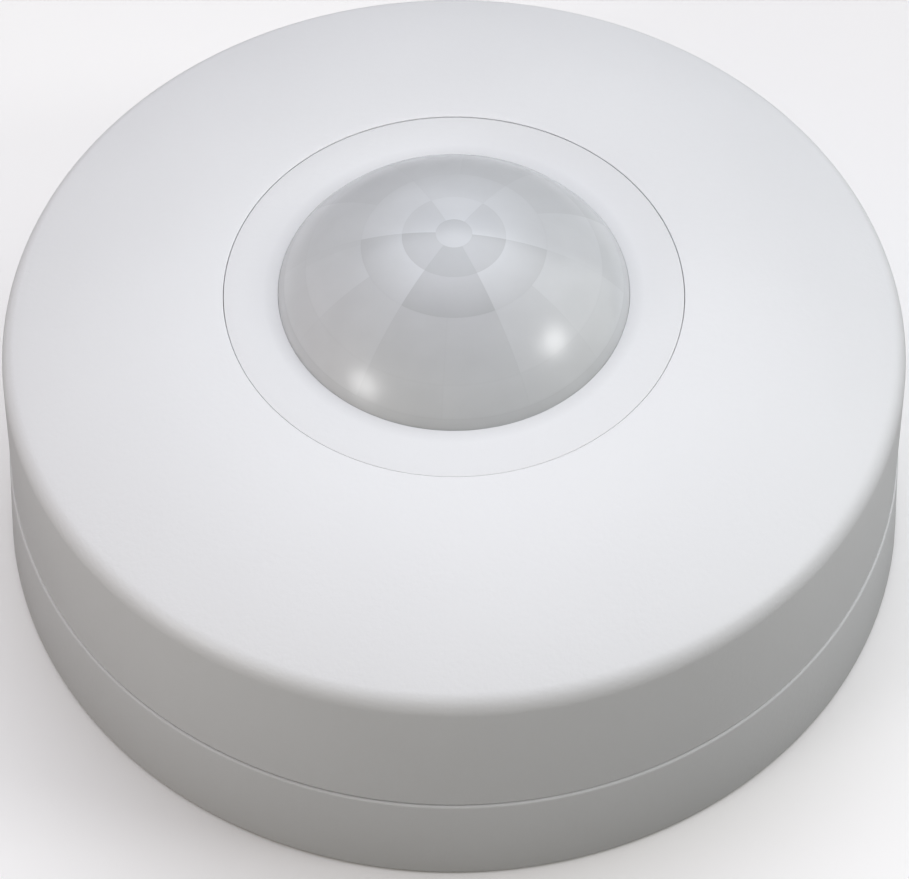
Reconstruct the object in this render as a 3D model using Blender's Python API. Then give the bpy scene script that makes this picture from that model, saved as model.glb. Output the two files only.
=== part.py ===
"""Surface-mounted ceiling motion sensor: a round housing with a domed Fresnel lens.

The sensor lies on its back: z = 0 is the face that meets the ceiling, +Z points into the
room, and the Z axis runs through the middle of the lens. Each sub-part is one named object,
parented to an empty that stands for the body it moves with. Lengths are in metres.
"""

import math

import bmesh
import bpy
from mathutils import Matrix, Vector

MM = 0.001
WELD = 1e-7
BOOLEAN_WELD = 2e-6
GAP = 0.3 * MM  # clearance between neighbouring pieces

# How many sides a round shape gets
LARGE, MEDIUM, SMALL, TINY = 52, 28, 16, 10
SCREW_SIDES = 12

# Housing outline
BASE_RADIUS = 57.5 * MM
SEAM_RADIUS = 56.65 * MM
SEAM_HEIGHT = 13.85 * MM
SEAM_STEP = 0.2 * MM
SHOULDER_RADIUS = 55.92 * MM
SHOULDER_HEIGHT = 32.40 * MM
SHOULDER_ROUND = 3.0 * MM
SHOULDER_TILT = math.radians(24.72)
CROWN_FLAT = 24.0 * MM
WALL = 2.4 * MM
ROOF = 2.2 * MM
EDGE = 0.4 * MM

# Base shell
FLOOR_BOTTOM = 2.2 * MM
FLOOR_TOP = 4.4 * MM
RIM_INNER = 54.6 * MM
LIP_INNER = 54.2 * MM
LIP_OUTER = 55.2 * MM
LIP_TOP = 16.6 * MM
CABLE_HOLE = 7.2 * MM
RIB_BOTTOM = 0.5 * MM
RIB_WIDTH = 1.2 * MM
RIB_COUNT = 12
SLOT_CENTRE = 28.0 * MM
SLOT_HALF_TRAVEL = 3.5 * MM
SLOT_RADIUS = 2.25 * MM
PAD_RADIUS = 5.0 * MM
PAD_TOP = FLOOR_TOP + 0.8 * MM

# Well in the front of the cover, under the lens ring
WELL_RADIUS = 28.2 * MM
WELL_FLOOR = 33.0 * MM
WELL_BOTTOM = 31.0 * MM
WELL_OUTER = 30.4 * MM
EYE_RADIUS = 7.6 * MM

# Long screws that hold the cover to the base
LOCK_RADIUS = 22.0 * MM
LOCK_ANGLES = {"left": math.radians(150), "right": math.radians(330)}
LOCK_SHANK = 1.45 * MM
LOCK_HEAD = 2.9 * MM
LOCK_TIP = 10.9 * MM
COLUMN_RADIUS = 4.3 * MM
COLUMN_BOTTOM = 15.9 * MM
COUNTERBORE = 3.3 * MM
COUNTERBORE_FLOOR = 29.9 * MM
BOSS_RADIUS = 3.6 * MM
BOSS_TOP = 15.5 * MM

# Circuit boards
POWER_BOARD = 49.5 * MM
POWER_BOTTOM = 17.6 * MM
POWER_TOP = 19.2 * MM
SENSOR_BOARD = 25.0 * MM
SENSOR_BOTTOM = 25.4 * MM
SENSOR_TOP = 27.0 * MM
POST_CIRCLE = 44.0 * MM
POST_RADIUS = 3.2 * MM
POST_ANGLES = [math.radians(120 * i) for i in range(3)]
STAKES = [(9.5 * MM, 13.0 * MM), (-12.0 * MM, 3.5 * MM), (9.0 * MM, -13.5 * MM)]

# Adjusters and optics
KNOB_CIRCLE = 19.5 * MM
KNOB_ANGLES = {"light": math.radians(30), "time": math.radians(90), "range": math.radians(210)}
KNOB_RADIUS = 3.1 * MM
KNOB_TOP = 35.2 * MM
OPTIC_OFFSET = 3.3 * MM
OPTIC_Y = -19.5 * MM

# Lens ring and lens
RING_INNER = 21.9 * MM
RING_OUTER = 27.9 * MM
RING_WALL = 1.3 * MM
RING_UNDERSIDE = 41.3 * MM
RING_BOTTOM = 34.0 * MM
LUG_ANGLES = [math.radians(24 + 120 * i) for i in range(3)]
HOOK_ANGLES = [math.radians(120 * i) for i in range(3)]
HOOK_UNDERSIDE = 36.2 * MM
HOOK_TOP = 37.4 * MM
LUG_TOP = 35.8 * MM
LENS_NECK = 21.5 * MM
LENS_LIP_TOP = 43.05 * MM
DOME_FOOT = 43.2 * MM
DOME_SEMI_WIDTH = 21.0 * MM
DOME_SEMI_HEIGHT = 12.7 * MM
DOME_CENTRE = 40.22 * MM
LENS_WALL = 0.8 * MM
FLANGE_BOTTOM = 40.4 * MM
FLANGE_TOP = 41.0 * MM
FLANGE_RADIUS = 25.6 * MM
CARRIER_TOP = 40.1 * MM
CARRIER_BOTTOM = 38.8 * MM
CARRIER_LEGS = [math.radians(60 + 120 * i) for i in range(3)]
CARRIER_LEG_RADIUS = 21.6 * MM

# Terminal block and socket on the base
WAYS = {"live": -10.5 * MM, "neutral": 0.0, "load": 10.5 * MM}
SOCKET_WAYS = {"live": -9.0 * MM, "neutral": 0.0, "load": 9.0 * MM}
TERMINAL_Y = 33.5 * MM
SOCKET_Y = -36.0 * MM
ON_FLOOR = FLOOR_TOP + GAP
TERMINAL_HALF_DEPTH = 7.5 * MM
TERMINAL_HEIGHT = 10.3 * MM
SOCKET_HALF_DEPTH = 5.0 * MM
SOCKET_HEIGHT = 8.8 * MM
EAR_X = 20.25 * MM
WIRE_RADIUS = 1.1 * MM

# Colour, roughness and metallic value of each material
FINISHES = {
    "white_abs": ((0.86, 0.86, 0.87), 0.5, 0.0),
    "lens_film": ((0.78, 0.79, 0.80), 0.3, 0.0),
    "black_plastic": ((0.03, 0.03, 0.035), 0.45, 0.0),
    "grey_plastic": ((0.55, 0.56, 0.57), 0.5, 0.0),
    "rubber": ((0.12, 0.12, 0.12), 0.8, 0.0),
    "board_green": ((0.03, 0.2, 0.09), 0.45, 0.0),
    "steel": ((0.62, 0.62, 0.64), 0.3, 1.0),
    "brass": ((0.78, 0.6, 0.28), 0.3, 1.0),
    "tin": ((0.75, 0.75, 0.76), 0.35, 1.0),
    "copper": ((0.7, 0.33, 0.16), 0.4, 1.0),
    "blue_plastic": ((0.05, 0.2, 0.5), 0.4, 0.0),
    "yellow_epoxy": ((0.75, 0.5, 0.06), 0.4, 0.0),
    "red_led": ((0.7, 0.05, 0.04), 0.2, 0.0),
    "brown_wire": ((0.25, 0.11, 0.05), 0.5, 0.0),
    "blue_wire": ((0.05, 0.15, 0.5), 0.5, 0.0),
    "black_wire": ((0.02, 0.02, 0.02), 0.5, 0.0),
    "dark_glass": ((0.04, 0.03, 0.05), 0.1, 0.0),
    "cell": ((0.6, 0.3, 0.15), 0.4, 0.0),
}
WIRE_COLOURS = {"live": "brown_wire", "neutral": "blue_wire", "load": "black_wire"}


# ---------------------------------------------------------------- modelling tools


def solid(bm):
    """Turns a bmesh into an object in the scene, faces pointing out."""
    bmesh.ops.remove_doubles(bm, verts=bm.verts, dist=WELD)
    bmesh.ops.recalc_face_normals(bm, faces=bm.faces)
    mesh = bpy.data.meshes.new("shape")
    bm.to_mesh(mesh)
    bm.free()
    obj = bpy.data.objects.new("shape", mesh)
    bpy.context.scene.collection.objects.link(obj)
    return obj


def turned(outline, sides=SMALL):
    """A solid of revolution about Z from a closed outline of (radius, height) points."""
    bm = bmesh.new()
    points = [bm.verts.new((r, 0, z)) for r, z in outline]
    pairs = zip(points, points[1:] + points[:1])
    edges = [bm.edges.new(pair) for pair in pairs if pair[0].co.x > 0 or pair[1].co.x > 0]
    bmesh.ops.spin(
        bm,
        geom=points + edges,
        cent=(0, 0, 0),
        axis=(0, 0, 1),
        angle=math.tau,
        steps=sides,
        use_merge=True,
    )
    return solid(bm)


def rod(radius, bottom, top, sides=SMALL, at=(0, 0)):
    """An upright cylinder with its axis through the point at."""
    bm = bmesh.new()
    bmesh.ops.create_cone(
        bm,
        cap_ends=True,
        segments=sides,
        radius1=radius,
        radius2=radius,
        depth=top - bottom,
        matrix=Matrix.Translation((at[0], at[1], (bottom + top) / 2)),
    )
    return solid(bm)


def block(low, high):
    """A box between two corners."""
    size = Vector(high) - Vector(low)
    middle = (Vector(high) + Vector(low)) / 2
    bm = bmesh.new()
    bmesh.ops.create_cube(bm, size=1, matrix=Matrix.Translation(middle) @ Matrix.Diagonal((*size, 1)))
    return solid(bm)


def centred_block(width, depth, bottom, top, at=(0, 0)):
    """A box whose plan is centred on the point at."""
    low = (at[0] - width / 2, at[1] - depth / 2, bottom)
    high = (at[0] + width / 2, at[1] + depth / 2, top)
    return block(low, high)


def extruded(outline, bottom, top):
    """A prism from a closed outline of (x, y) points."""
    bm = bmesh.new()
    face = bm.faces.new([bm.verts.new((x, y, bottom)) for x, y in outline])
    raised = bmesh.ops.extrude_face_region(bm, geom=[face])["geom"]
    moved = [item for item in raised if isinstance(item, bmesh.types.BMVert)]
    bmesh.ops.translate(bm, verts=moved, vec=(0, 0, top - bottom))
    return solid(bm)


def arc(radius, start, end, steps, centre=(0, 0)):
    """Points on a circular arc, both ends included."""
    angles = [start + (end - start) * i / steps for i in range(steps + 1)]
    return [(centre[0] + radius * math.cos(a), centre[1] + radius * math.sin(a)) for a in angles]


def swept(outline, middle, half_angle, steps=3):
    """Part of a turn about Z of a closed outline of (radius, height) points, with flat ends."""
    bm = bmesh.new()
    loops = []
    for i in range(steps + 1):
        angle = middle + half_angle * (2 * i / steps - 1)
        loops.append([bm.verts.new((*polar(r, angle), z)) for r, z in outline])
    for near, far in zip(loops, loops[1:]):
        for i in range(len(outline)):
            bm.faces.new((near[i - 1], near[i], far[i], far[i - 1]))
    bm.faces.new(loops[0])
    bm.faces.new(loops[-1])
    return solid(bm)


def stadium(radius, half_travel, bottom, top, at, sides=6):
    """A prism with round ends and its long axis along X."""
    right = arc(radius, -math.pi / 2, math.pi / 2, sides, (at[0] + half_travel, at[1]))
    left = arc(radius, math.pi / 2, 3 * math.pi / 2, sides, (at[0] - half_travel, at[1]))
    return extruded(right + left, bottom, top)


def plus_outline(reach, width):
    """The outline of a cross recess, as a plus sign."""
    corners = [(reach, width), (width, width), (width, reach)]
    turns = [Matrix.Rotation(math.pi / 2 * i, 2) for i in range(4)]
    return [tuple(turn @ Vector(corner)) for turn in turns for corner in corners]


def polar(radius, angle):
    return radius * math.cos(angle), radius * math.sin(angle)


def turn_about_z(obj, angle):
    obj.data.transform(Matrix.Rotation(angle, 4, "Z"))
    return obj


def combine(target, tools, operation):
    """Applies a Boolean with each tool in turn, and deletes the tools."""
    for tool in tools:
        modifier = target.modifiers.new("combine", "BOOLEAN")
        modifier.operation = operation
        modifier.object = tool
        graph = bpy.context.evaluated_depsgraph_get()
        result = bpy.data.meshes.new_from_object(target.evaluated_get(graph))
        target.modifiers.clear()
        target.data = result
        bpy.data.objects.remove(tool)
        bm = bmesh.new()
        bm.from_mesh(result)
        bmesh.ops.remove_doubles(bm, verts=bm.verts, dist=BOOLEAN_WELD)
        bm.to_mesh(result)
        bm.free()
    return target


def cut(target, *tools):
    return combine(target, tools, "DIFFERENCE")


def join(target, *tools):
    return combine(target, tools, "UNION")


def material(name):
    found = bpy.data.materials.get(name)
    if found:
        return found
    colour, roughness, metallic = FINISHES[name]
    made = bpy.data.materials.new(name)
    made.use_nodes = True
    made.diffuse_color = (*colour, 1)
    shader = made.node_tree.nodes["Principled BSDF"]
    shader.inputs["Base Color"].default_value = (*colour, 1)
    shader.inputs["Roughness"].default_value = roughness
    shader.inputs["Metallic"].default_value = metallic
    return made


def body(name, at=(0, 0, 0), parent=None):
    """The empty that a rigid body's pieces are parented to."""
    empty = bpy.data.objects.new(name, None)
    bpy.context.scene.collection.objects.link(empty)
    empty.parent = parent
    offset = parent.matrix_world.translation if parent else Vector((0, 0, 0))
    empty.location = Vector(at) - offset
    bpy.context.view_layer.update()
    return empty


def piece(obj, name, parent, finish, at=(0, 0, 0), turn=(0, 0, 0)):
    """Names, finishes and places a sub-part. The point at is in world space."""
    obj.name = obj.data.name = name
    obj.data.materials.clear()
    obj.data.materials.append(material(finish))
    if obj.type == "MESH":
        obj.data.shade_smooth()
        obj.data.set_sharp_from_angle(angle=math.radians(35))
    obj.parent = parent
    obj.location = Vector(at) - parent.matrix_world.translation
    obj.rotation_euler = turn
    return obj


# ---------------------------------------------------------------- housing


def crown_end():
    """Where the crown's slope meets the shoulder's arc, as (radius, height)."""
    return (
        SHOULDER_RADIUS - SHOULDER_ROUND * (1 - math.sin(SHOULDER_TILT)),
        SHOULDER_HEIGHT + SHOULDER_ROUND * math.cos(SHOULDER_TILT),
    )


def crown_height(radius):
    """Height of the cover's domed front: flat in the middle, a parabola outside that."""
    end_radius, end_height = crown_end()
    run = end_radius - CROWN_FLAT
    bend = math.tan(SHOULDER_TILT) / (2 * run)
    beyond = max(0.0, radius - CROWN_FLAT)
    return end_height + bend * (run**2 - beyond**2)


def make_base_shell(base):
    outline = [
        (RIM_INNER, 0),
        (BASE_RADIUS - EDGE, 0),
        (BASE_RADIUS, EDGE),
        (SEAM_RADIUS, SEAM_HEIGHT - EDGE),
        (SEAM_RADIUS - EDGE, SEAM_HEIGHT),
        (LIP_OUTER, SEAM_HEIGHT),
        (LIP_OUTER, LIP_TOP),
        (LIP_INNER, LIP_TOP),
        (LIP_INNER, FLOOR_TOP),
        (CABLE_HOLE, FLOOR_TOP),
        (CABLE_HOLE, FLOOR_BOTTOM),
        (RIM_INNER, FLOOR_BOTTOM),
    ]
    shell = turned(outline, LARGE)
    bite = 0.6 * MM  # how far a rib runs into what it joins
    collar = turned(
        [
            (9.4 * MM, RIB_BOTTOM),
            (10.8 * MM, RIB_BOTTOM),
            (10.8 * MM, FLOOR_BOTTOM + bite),
            (9.4 * MM, FLOOR_BOTTOM + bite),
        ],
        MEDIUM,
    )
    join(shell, collar)
    for i in range(RIB_COUNT):
        rib = block(
            (10.2 * MM, -RIB_WIDTH / 2, RIB_BOTTOM),
            (RIM_INNER + bite, RIB_WIDTH / 2, FLOOR_BOTTOM + bite),
        )
        join(shell, turn_about_z(rib, math.tau * (i + 0.5) / RIB_COUNT))
    for side in (-1, 1):
        at = (side * SLOT_CENTRE, 0)
        join(shell, stadium(PAD_RADIUS, SLOT_HALF_TRAVEL, 0, PAD_TOP, at))
        cut(shell, stadium(SLOT_RADIUS, SLOT_HALF_TRAVEL, -bite, PAD_TOP + bite, at))
        ear = (side * EAR_X, TERMINAL_Y)
        join(shell, rod(3.2 * MM, RIB_BOTTOM, FLOOR_BOTTOM + bite, SMALL, ear))
        cut(shell, rod(1.35 * MM, RIB_BOTTOM + 0.7 * MM, FLOOR_TOP + bite, TINY, ear))
    for angle in LOCK_ANGLES.values():
        at = polar(LOCK_RADIUS, angle)
        join(shell, rod(BOSS_RADIUS, FLOOR_TOP - bite, BOSS_TOP, SMALL, at))
        cut(shell, rod(LOCK_SHANK + GAP, FLOOR_TOP + bite, BOSS_TOP + bite, SMALL, at))
    piece(shell, "base_shell", base, "white_abs")


def make_cover_shell(cover):
    end_radius, _ = crown_end()
    opening_edge = WELL_RADIUS + EDGE / 2
    steps = 4
    shoulder = arc(
        SHOULDER_ROUND,
        0,
        math.pi / 2 - SHOULDER_TILT,
        steps,
        (SHOULDER_RADIUS - SHOULDER_ROUND, SHOULDER_HEIGHT),
    )
    crown = [end_radius + (opening_edge - end_radius) * i / steps for i in range(1, steps + 1)]
    roof = [WELL_OUTER + (end_radius - 2 * ROOF - WELL_OUTER) * i / 3 for i in range(4)]
    bottom = SEAM_HEIGHT + GAP
    foot = SEAM_RADIUS - SEAM_STEP
    outline = [(foot - EDGE / 2, bottom), (foot, bottom + EDGE / 2)]
    outline += shoulder
    outline += [(r, crown_height(r)) for r in crown]
    outline += [
        (WELL_RADIUS, crown_height(WELL_RADIUS) - EDGE / 2),
        (WELL_RADIUS, WELL_FLOOR),
        (EYE_RADIUS, WELL_FLOOR),
        (EYE_RADIUS, WELL_BOTTOM),
        (WELL_OUTER, WELL_BOTTOM),
    ]
    outline += [(r, crown_height(r) - ROOF) for r in roof]
    outline += [
        (SHOULDER_RADIUS - WALL, SHOULDER_HEIGHT),
        (foot - WALL, LIP_TOP + GAP),
        (LIP_OUTER + GAP, LIP_TOP + GAP),
        (LIP_OUTER + GAP, bottom),
    ]
    shell = turned(outline, LARGE)
    add_columns(shell)
    add_board_posts(shell)
    add_bayonet_hooks(shell)
    cut_well_floor(shell)
    piece(shell, "cover_shell", cover, "white_abs")


def add_columns(shell):
    """The two tubes that the long cover screws run down."""
    for angle in LOCK_ANGLES.values():
        at = polar(LOCK_RADIUS, angle)
        join(shell, rod(COLUMN_RADIUS, COLUMN_BOTTOM, WELL_FLOOR - EDGE, SMALL, at))
        cut(
            shell,
            rod(LOCK_SHANK + 0.45 * MM, COLUMN_BOTTOM - EDGE, WELL_FLOOR + EDGE, SMALL, at),
            rod(COUNTERBORE, COUNTERBORE_FLOOR, WELL_FLOOR + EDGE, SMALL, at),
        )


def add_board_posts(shell):
    """Screw posts for the power board, and staked pins for the sensor board."""
    for angle in POST_ANGLES:
        at = polar(POST_CIRCLE, angle)
        roof = crown_height(POST_CIRCLE + POST_RADIUS) - ROOF / 2
        join(shell, rod(POST_RADIUS, POWER_TOP + GAP, roof, SMALL, at))
        cut(shell, rod(1.35 * MM, POWER_TOP, 27 * MM, TINY, at))
    for x, y in STAKES:
        pin = turned(
            [
                (0, 23.9 * MM),
                (1.3 * MM, 23.9 * MM),
                (1.7 * MM, 24.3 * MM),
                (1.7 * MM, SENSOR_BOTTOM - GAP),
                (1.0 * MM, SENSOR_BOTTOM - GAP),
                (1.0 * MM, SENSOR_TOP + GAP),
                (2.2 * MM, SENSOR_TOP + GAP),
                (2.2 * MM, WELL_BOTTOM + EDGE),
                (0, WELL_BOTTOM + EDGE),
            ],
            TINY,
        )
        pin.data.transform(Matrix.Translation((x, y, 0)))
        join(shell, pin)


def add_bayonet_hooks(shell):
    """Hooks on the well's floor that the lens ring's lugs turn in under."""
    inner, outer, tip = 23.4 * MM, 24.8 * MM, 26.1 * MM
    outline = [
        (inner, WELL_FLOOR - EDGE),
        (outer, WELL_FLOOR - EDGE),
        (outer, HOOK_UNDERSIDE),
        (tip, HOOK_UNDERSIDE),
        (tip, HOOK_TOP),
        (inner, HOOK_TOP),
    ]
    for angle in HOOK_ANGLES:
        join(shell, swept(outline, angle, math.radians(10)))


def cut_well_floor(shell):
    """Openings for the adjusters, the light sensor, the indicator and the lens carrier's legs."""
    low, high = WELL_BOTTOM - EDGE, WELL_FLOOR + EDGE
    for angle in KNOB_ANGLES.values():
        cut(shell, rod(KNOB_RADIUS + 0.4 * MM, low, high, SMALL, polar(KNOB_CIRCLE, angle)))
    cut(shell, rod(2.6 * MM, low, high, SMALL, (-OPTIC_OFFSET, OPTIC_Y)))
    cut(shell, rod(1.9 * MM, low, high, SMALL, (OPTIC_OFFSET, OPTIC_Y)))
    for angle in CARRIER_LEGS:
        slot = centred_block(2.4 * MM, 5.3 * MM, low, high, (CARRIER_LEG_RADIUS, 0))
        cut(shell, turn_about_z(slot, angle))


# ---------------------------------------------------------------- lens and its ring


def dome_outline(inset, foot, steps):
    """The dome's elliptical profile from its foot to its apex, drawn in by inset."""
    wide, tall = DOME_SEMI_WIDTH - inset, DOME_SEMI_HEIGHT - inset
    start = math.asin((foot - DOME_CENTRE) / tall)
    angles = [start + (math.pi / 2 - start) * i / steps for i in range(steps)]
    points = [(wide * math.cos(a), DOME_CENTRE + tall * math.sin(a)) for a in angles]
    return points + [(0, DOME_CENTRE + tall)]


def make_lens(lens):
    outside = dome_outline(0, DOME_FOOT, 6)
    inside = dome_outline(LENS_WALL, FLANGE_BOTTOM, 6)
    outline = [
        (FLANGE_RADIUS, FLANGE_BOTTOM),
        (FLANGE_RADIUS, FLANGE_TOP),
        (LENS_NECK, FLANGE_TOP),
        (LENS_NECK, LENS_LIP_TOP - EDGE / 2),
        (LENS_NECK - EDGE / 2, LENS_LIP_TOP),
    ]
    outline += outside + inside[::-1]
    piece(turned(outline, LARGE), "lens_dome", lens, "lens_film")

    carrier = turned(
        [
            (20.6 * MM, CARRIER_BOTTOM),
            (26.2 * MM, CARRIER_BOTTOM),
            (26.2 * MM, CARRIER_TOP),
            (20.6 * MM, CARRIER_TOP),
        ],
        LARGE,
    )
    for angle in CARRIER_LEGS:
        leg = centred_block(
            1.6 * MM, 4.5 * MM, WELL_BOTTOM + EDGE, CARRIER_BOTTOM + EDGE, (CARRIER_LEG_RADIUS, 0)
        )
        join(carrier, turn_about_z(leg, angle))
    piece(carrier, "lens_carrier", lens, "white_abs")


def make_lens_ring(ring):
    inside = RING_OUTER - RING_WALL
    bead_low, bead_high = 37.8 * MM, 38.5 * MM
    bead = inside - 0.5 * MM
    outline = [
        (RING_INNER, RING_UNDERSIDE),
        (RING_INNER, crown_height(RING_INNER) - EDGE / 2),
        (RING_INNER + EDGE / 2, crown_height(RING_INNER)),
        (CROWN_FLAT, crown_height(CROWN_FLAT)),
        (RING_OUTER - EDGE / 2, crown_height(RING_OUTER)),
        (RING_OUTER, crown_height(RING_OUTER) - EDGE / 2),
        (RING_OUTER, RING_BOTTOM),
        (inside, RING_BOTTOM),
        (inside, bead_low),
        (bead, (bead_low + bead_high) / 2),
        (inside, bead_high),
        (inside, RING_UNDERSIDE),
    ]
    shell = turned(outline, LARGE)
    lug_inner, lug_outer = 25.2 * MM, inside + RING_WALL / 2
    lug = [
        (lug_inner, RING_BOTTOM - EDGE / 2),
        (lug_outer, RING_BOTTOM - EDGE / 2),
        (lug_outer, LUG_TOP),
        (lug_inner, LUG_TOP),
    ]
    for angle in LUG_ANGLES:
        join(shell, swept(lug, angle, math.radians(8)))
    piece(shell, "lens_ring", ring, "white_abs")


# ---------------------------------------------------------------- fasteners


def screw(head_radius, head_height, shank_radius, length, recess):
    """A cross-head screw pointing down, with its head's underside at z = 0."""
    point = 1.2 * shank_radius
    made = turned(
        [
            (0, -length),
            (0.3 * shank_radius, -length),
            (shank_radius, -length + point),
            (shank_radius, 0),
            (head_radius, 0),
            (head_radius, 0.6 * head_height),
            (0.75 * head_radius, head_height),
            (0, head_height),
        ],
        SCREW_SIDES,
    )
    depth = 0.6 * head_height
    cross = extruded(plus_outline(recess, recess / 3.5), head_height - depth, head_height + depth)
    return cut(made, cross)


def make_cover_screws(cover):
    """The captive screws, each in its own body inside the body of the seal that rises with it."""
    head_seat = COUNTERBORE_FLOOR + 1.1 * MM
    for side, angle in LOCK_ANGLES.items():
        at = (*polar(LOCK_RADIUS, angle), head_seat)
        seal_body = body(f"cover_screw_seal_{side}_body", at, cover)
        seal = turned(
            [
                (LOCK_SHANK + 0.25 * MM, -0.9 * MM),
                (LOCK_HEAD, -0.9 * MM),
                (LOCK_HEAD, -0.2 * MM),
                (LOCK_SHANK + 0.25 * MM, -0.2 * MM),
            ]
        )
        piece(seal, f"cover_screw_seal_{side}", seal_body, "rubber", at)
        screw_body = body(f"cover_screw_{side}_body", at, seal_body)
        made = screw(LOCK_HEAD, WELL_FLOOR - head_seat, LOCK_SHANK, head_seat - LOCK_TIP, 1.75 * MM)
        piece(made, f"cover_screw_{side}", screw_body, "steel", at)


def make_board_screws(cover):
    for number, angle in enumerate(POST_ANGLES, 1):
        at = (*polar(POST_CIRCLE, angle), POWER_BOTTOM - GAP)
        made = screw(2.6 * MM, 1.1 * MM, 1.05 * MM, 8.0 * MM, 1.5 * MM)
        piece(made, f"board_screw_{number}", cover, "steel", at, (math.pi, 0, 0))


# ---------------------------------------------------------------- base fittings


def make_grommet(base):
    bore = 4.2 * MM
    flange = CABLE_HOLE + 1.6 * MM
    neck = CABLE_HOLE - GAP
    outline = [
        (bore, 0.7 * MM),
        (flange - EDGE, 0.7 * MM),
        (flange, FLOOR_BOTTOM - GAP),
        (neck, FLOOR_BOTTOM - GAP),
        (neck, FLOOR_TOP + GAP),
        (flange, FLOOR_TOP + GAP),
        (flange, FLOOR_TOP + 1.2 * MM),
        (bore + 1.4 * MM, FLOOR_TOP + 3.2 * MM),
        (bore, FLOOR_TOP + 3.2 * MM),
    ]
    piece(turned(outline, MEDIUM), "cable_grommet", base, "rubber")


def make_terminal_block(base):
    """The three-way rising-clamp block. Its wire mouths face away from the middle."""
    at = (0, TERMINAL_Y, ON_FLOOR)
    deep, tall = TERMINAL_HALF_DEPTH, TERMINAL_HEIGHT
    housing = block((-16.5 * MM, -deep, 0), (16.5 * MM, deep, tall))
    for side in (-1, 1):
        ear = block((-4 * MM, -4 * MM, 0), (4 * MM, 4 * MM, 3 * MM))
        ear.data.transform(Matrix.Translation((side * (EAR_X - 0.2 * MM), 0, 0)))
        join(housing, ear)
        cut(housing, rod(1.7 * MM, -MM, 4 * MM, SMALL, (side * EAR_X, 0)))
    for x in WAYS.values():
        cut(
            housing,
            block((x - 3.5 * MM, -3.5 * MM, 0.9 * MM), (x + 3.5 * MM, deep + MM, 8.6 * MM)),
            rod(1.7 * MM, 8 * MM, 10 * MM, SMALL, (x, MM)),
            rod(2.4 * MM, 9.2 * MM, tall + MM, SMALL, (x, MM)),
            block((x - 1.9 * MM, -5.9 * MM, 3.9 * MM), (x + 1.9 * MM, -3 * MM, 5.5 * MM)),
            wire_bore(x, -deep - MM, 2.5 * MM, 4.6 * MM),
        )
    piece(housing, "terminal_block", base, "grey_plastic", at)
    for way, x in WAYS.items():
        bar = block((-1.6 * MM, -5.6 * MM, 4.3 * MM), (1.6 * MM, 5 * MM, 5.1 * MM))
        piece(bar, f"terminal_bar_{way}", base, "tin", (x, TERMINAL_Y, ON_FLOOR))
        make_clamp(way, x, base)
    for number, side in enumerate((-1, 1), 1):
        made = screw(2.4 * MM, 1.6 * MM, 1.05 * MM, 5.8 * MM, 1.4 * MM)
        seat = (side * EAR_X, TERMINAL_Y, ON_FLOOR + 3 * MM + GAP)
        piece(made, f"terminal_block_screw_{number}", base, "steel", seat)


def wire_bore(x, start_y, length, height):
    """A bore along +Y for a wire's end."""
    bore = rod(WIRE_RADIUS + GAP, 0, length, TINY)
    bore.data.transform(Matrix.Translation((x, start_y, height)) @ Matrix.Rotation(-math.pi / 2, 4, "X"))
    return bore


def make_clamp(way, x, base):
    """A clamp cage that rises as its screw turns, with the screw held at one height."""
    axis_y = TERMINAL_Y + MM
    clamp_body = body(f"terminal_clamp_{way}_body", (x, axis_y, ON_FLOOR), base)
    cage = block((-3 * MM, -2.7 * MM, 1.2 * MM), (3 * MM, 2.7 * MM, 6.8 * MM))
    window = block((-2.1 * MM, -4 * MM, 2.2 * MM), (2.1 * MM, 4 * MM, 5.4 * MM))
    cut(cage, window, rod(1.6 * MM, 5 * MM, 8 * MM, TINY))
    piece(cage, f"terminal_clamp_{way}", clamp_body, "brass", (x, axis_y, ON_FLOOR))
    screw_body = body(f"terminal_screw_{way}_body", (x, axis_y, ON_FLOOR), base)
    made = screw(2.1 * MM, 0.8 * MM, 1.3 * MM, 4.0 * MM, 1.4 * MM)
    made.data.transform(Matrix.Translation((0, 0, 9.4 * MM)))
    piece(made, f"terminal_screw_{way}", screw_body, "steel", (x, axis_y, ON_FLOOR))


def make_socket(base):
    deep = SOCKET_HALF_DEPTH
    housing = block((-15 * MM, -deep, 0), (15 * MM, deep, SOCKET_HEIGHT))
    for x in SOCKET_WAYS.values():
        cut(
            housing,
            block((x - 1.9 * MM, -0.8 * MM, 1.2 * MM), (x + 1.9 * MM, 0.8 * MM, 10 * MM)),
            wire_bore(x, deep - 3 * MM, 4 * MM, 3.4 * MM),
        )
    piece(housing, "socket_block", base, "black_plastic", (0, SOCKET_Y, ON_FLOOR))


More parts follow.
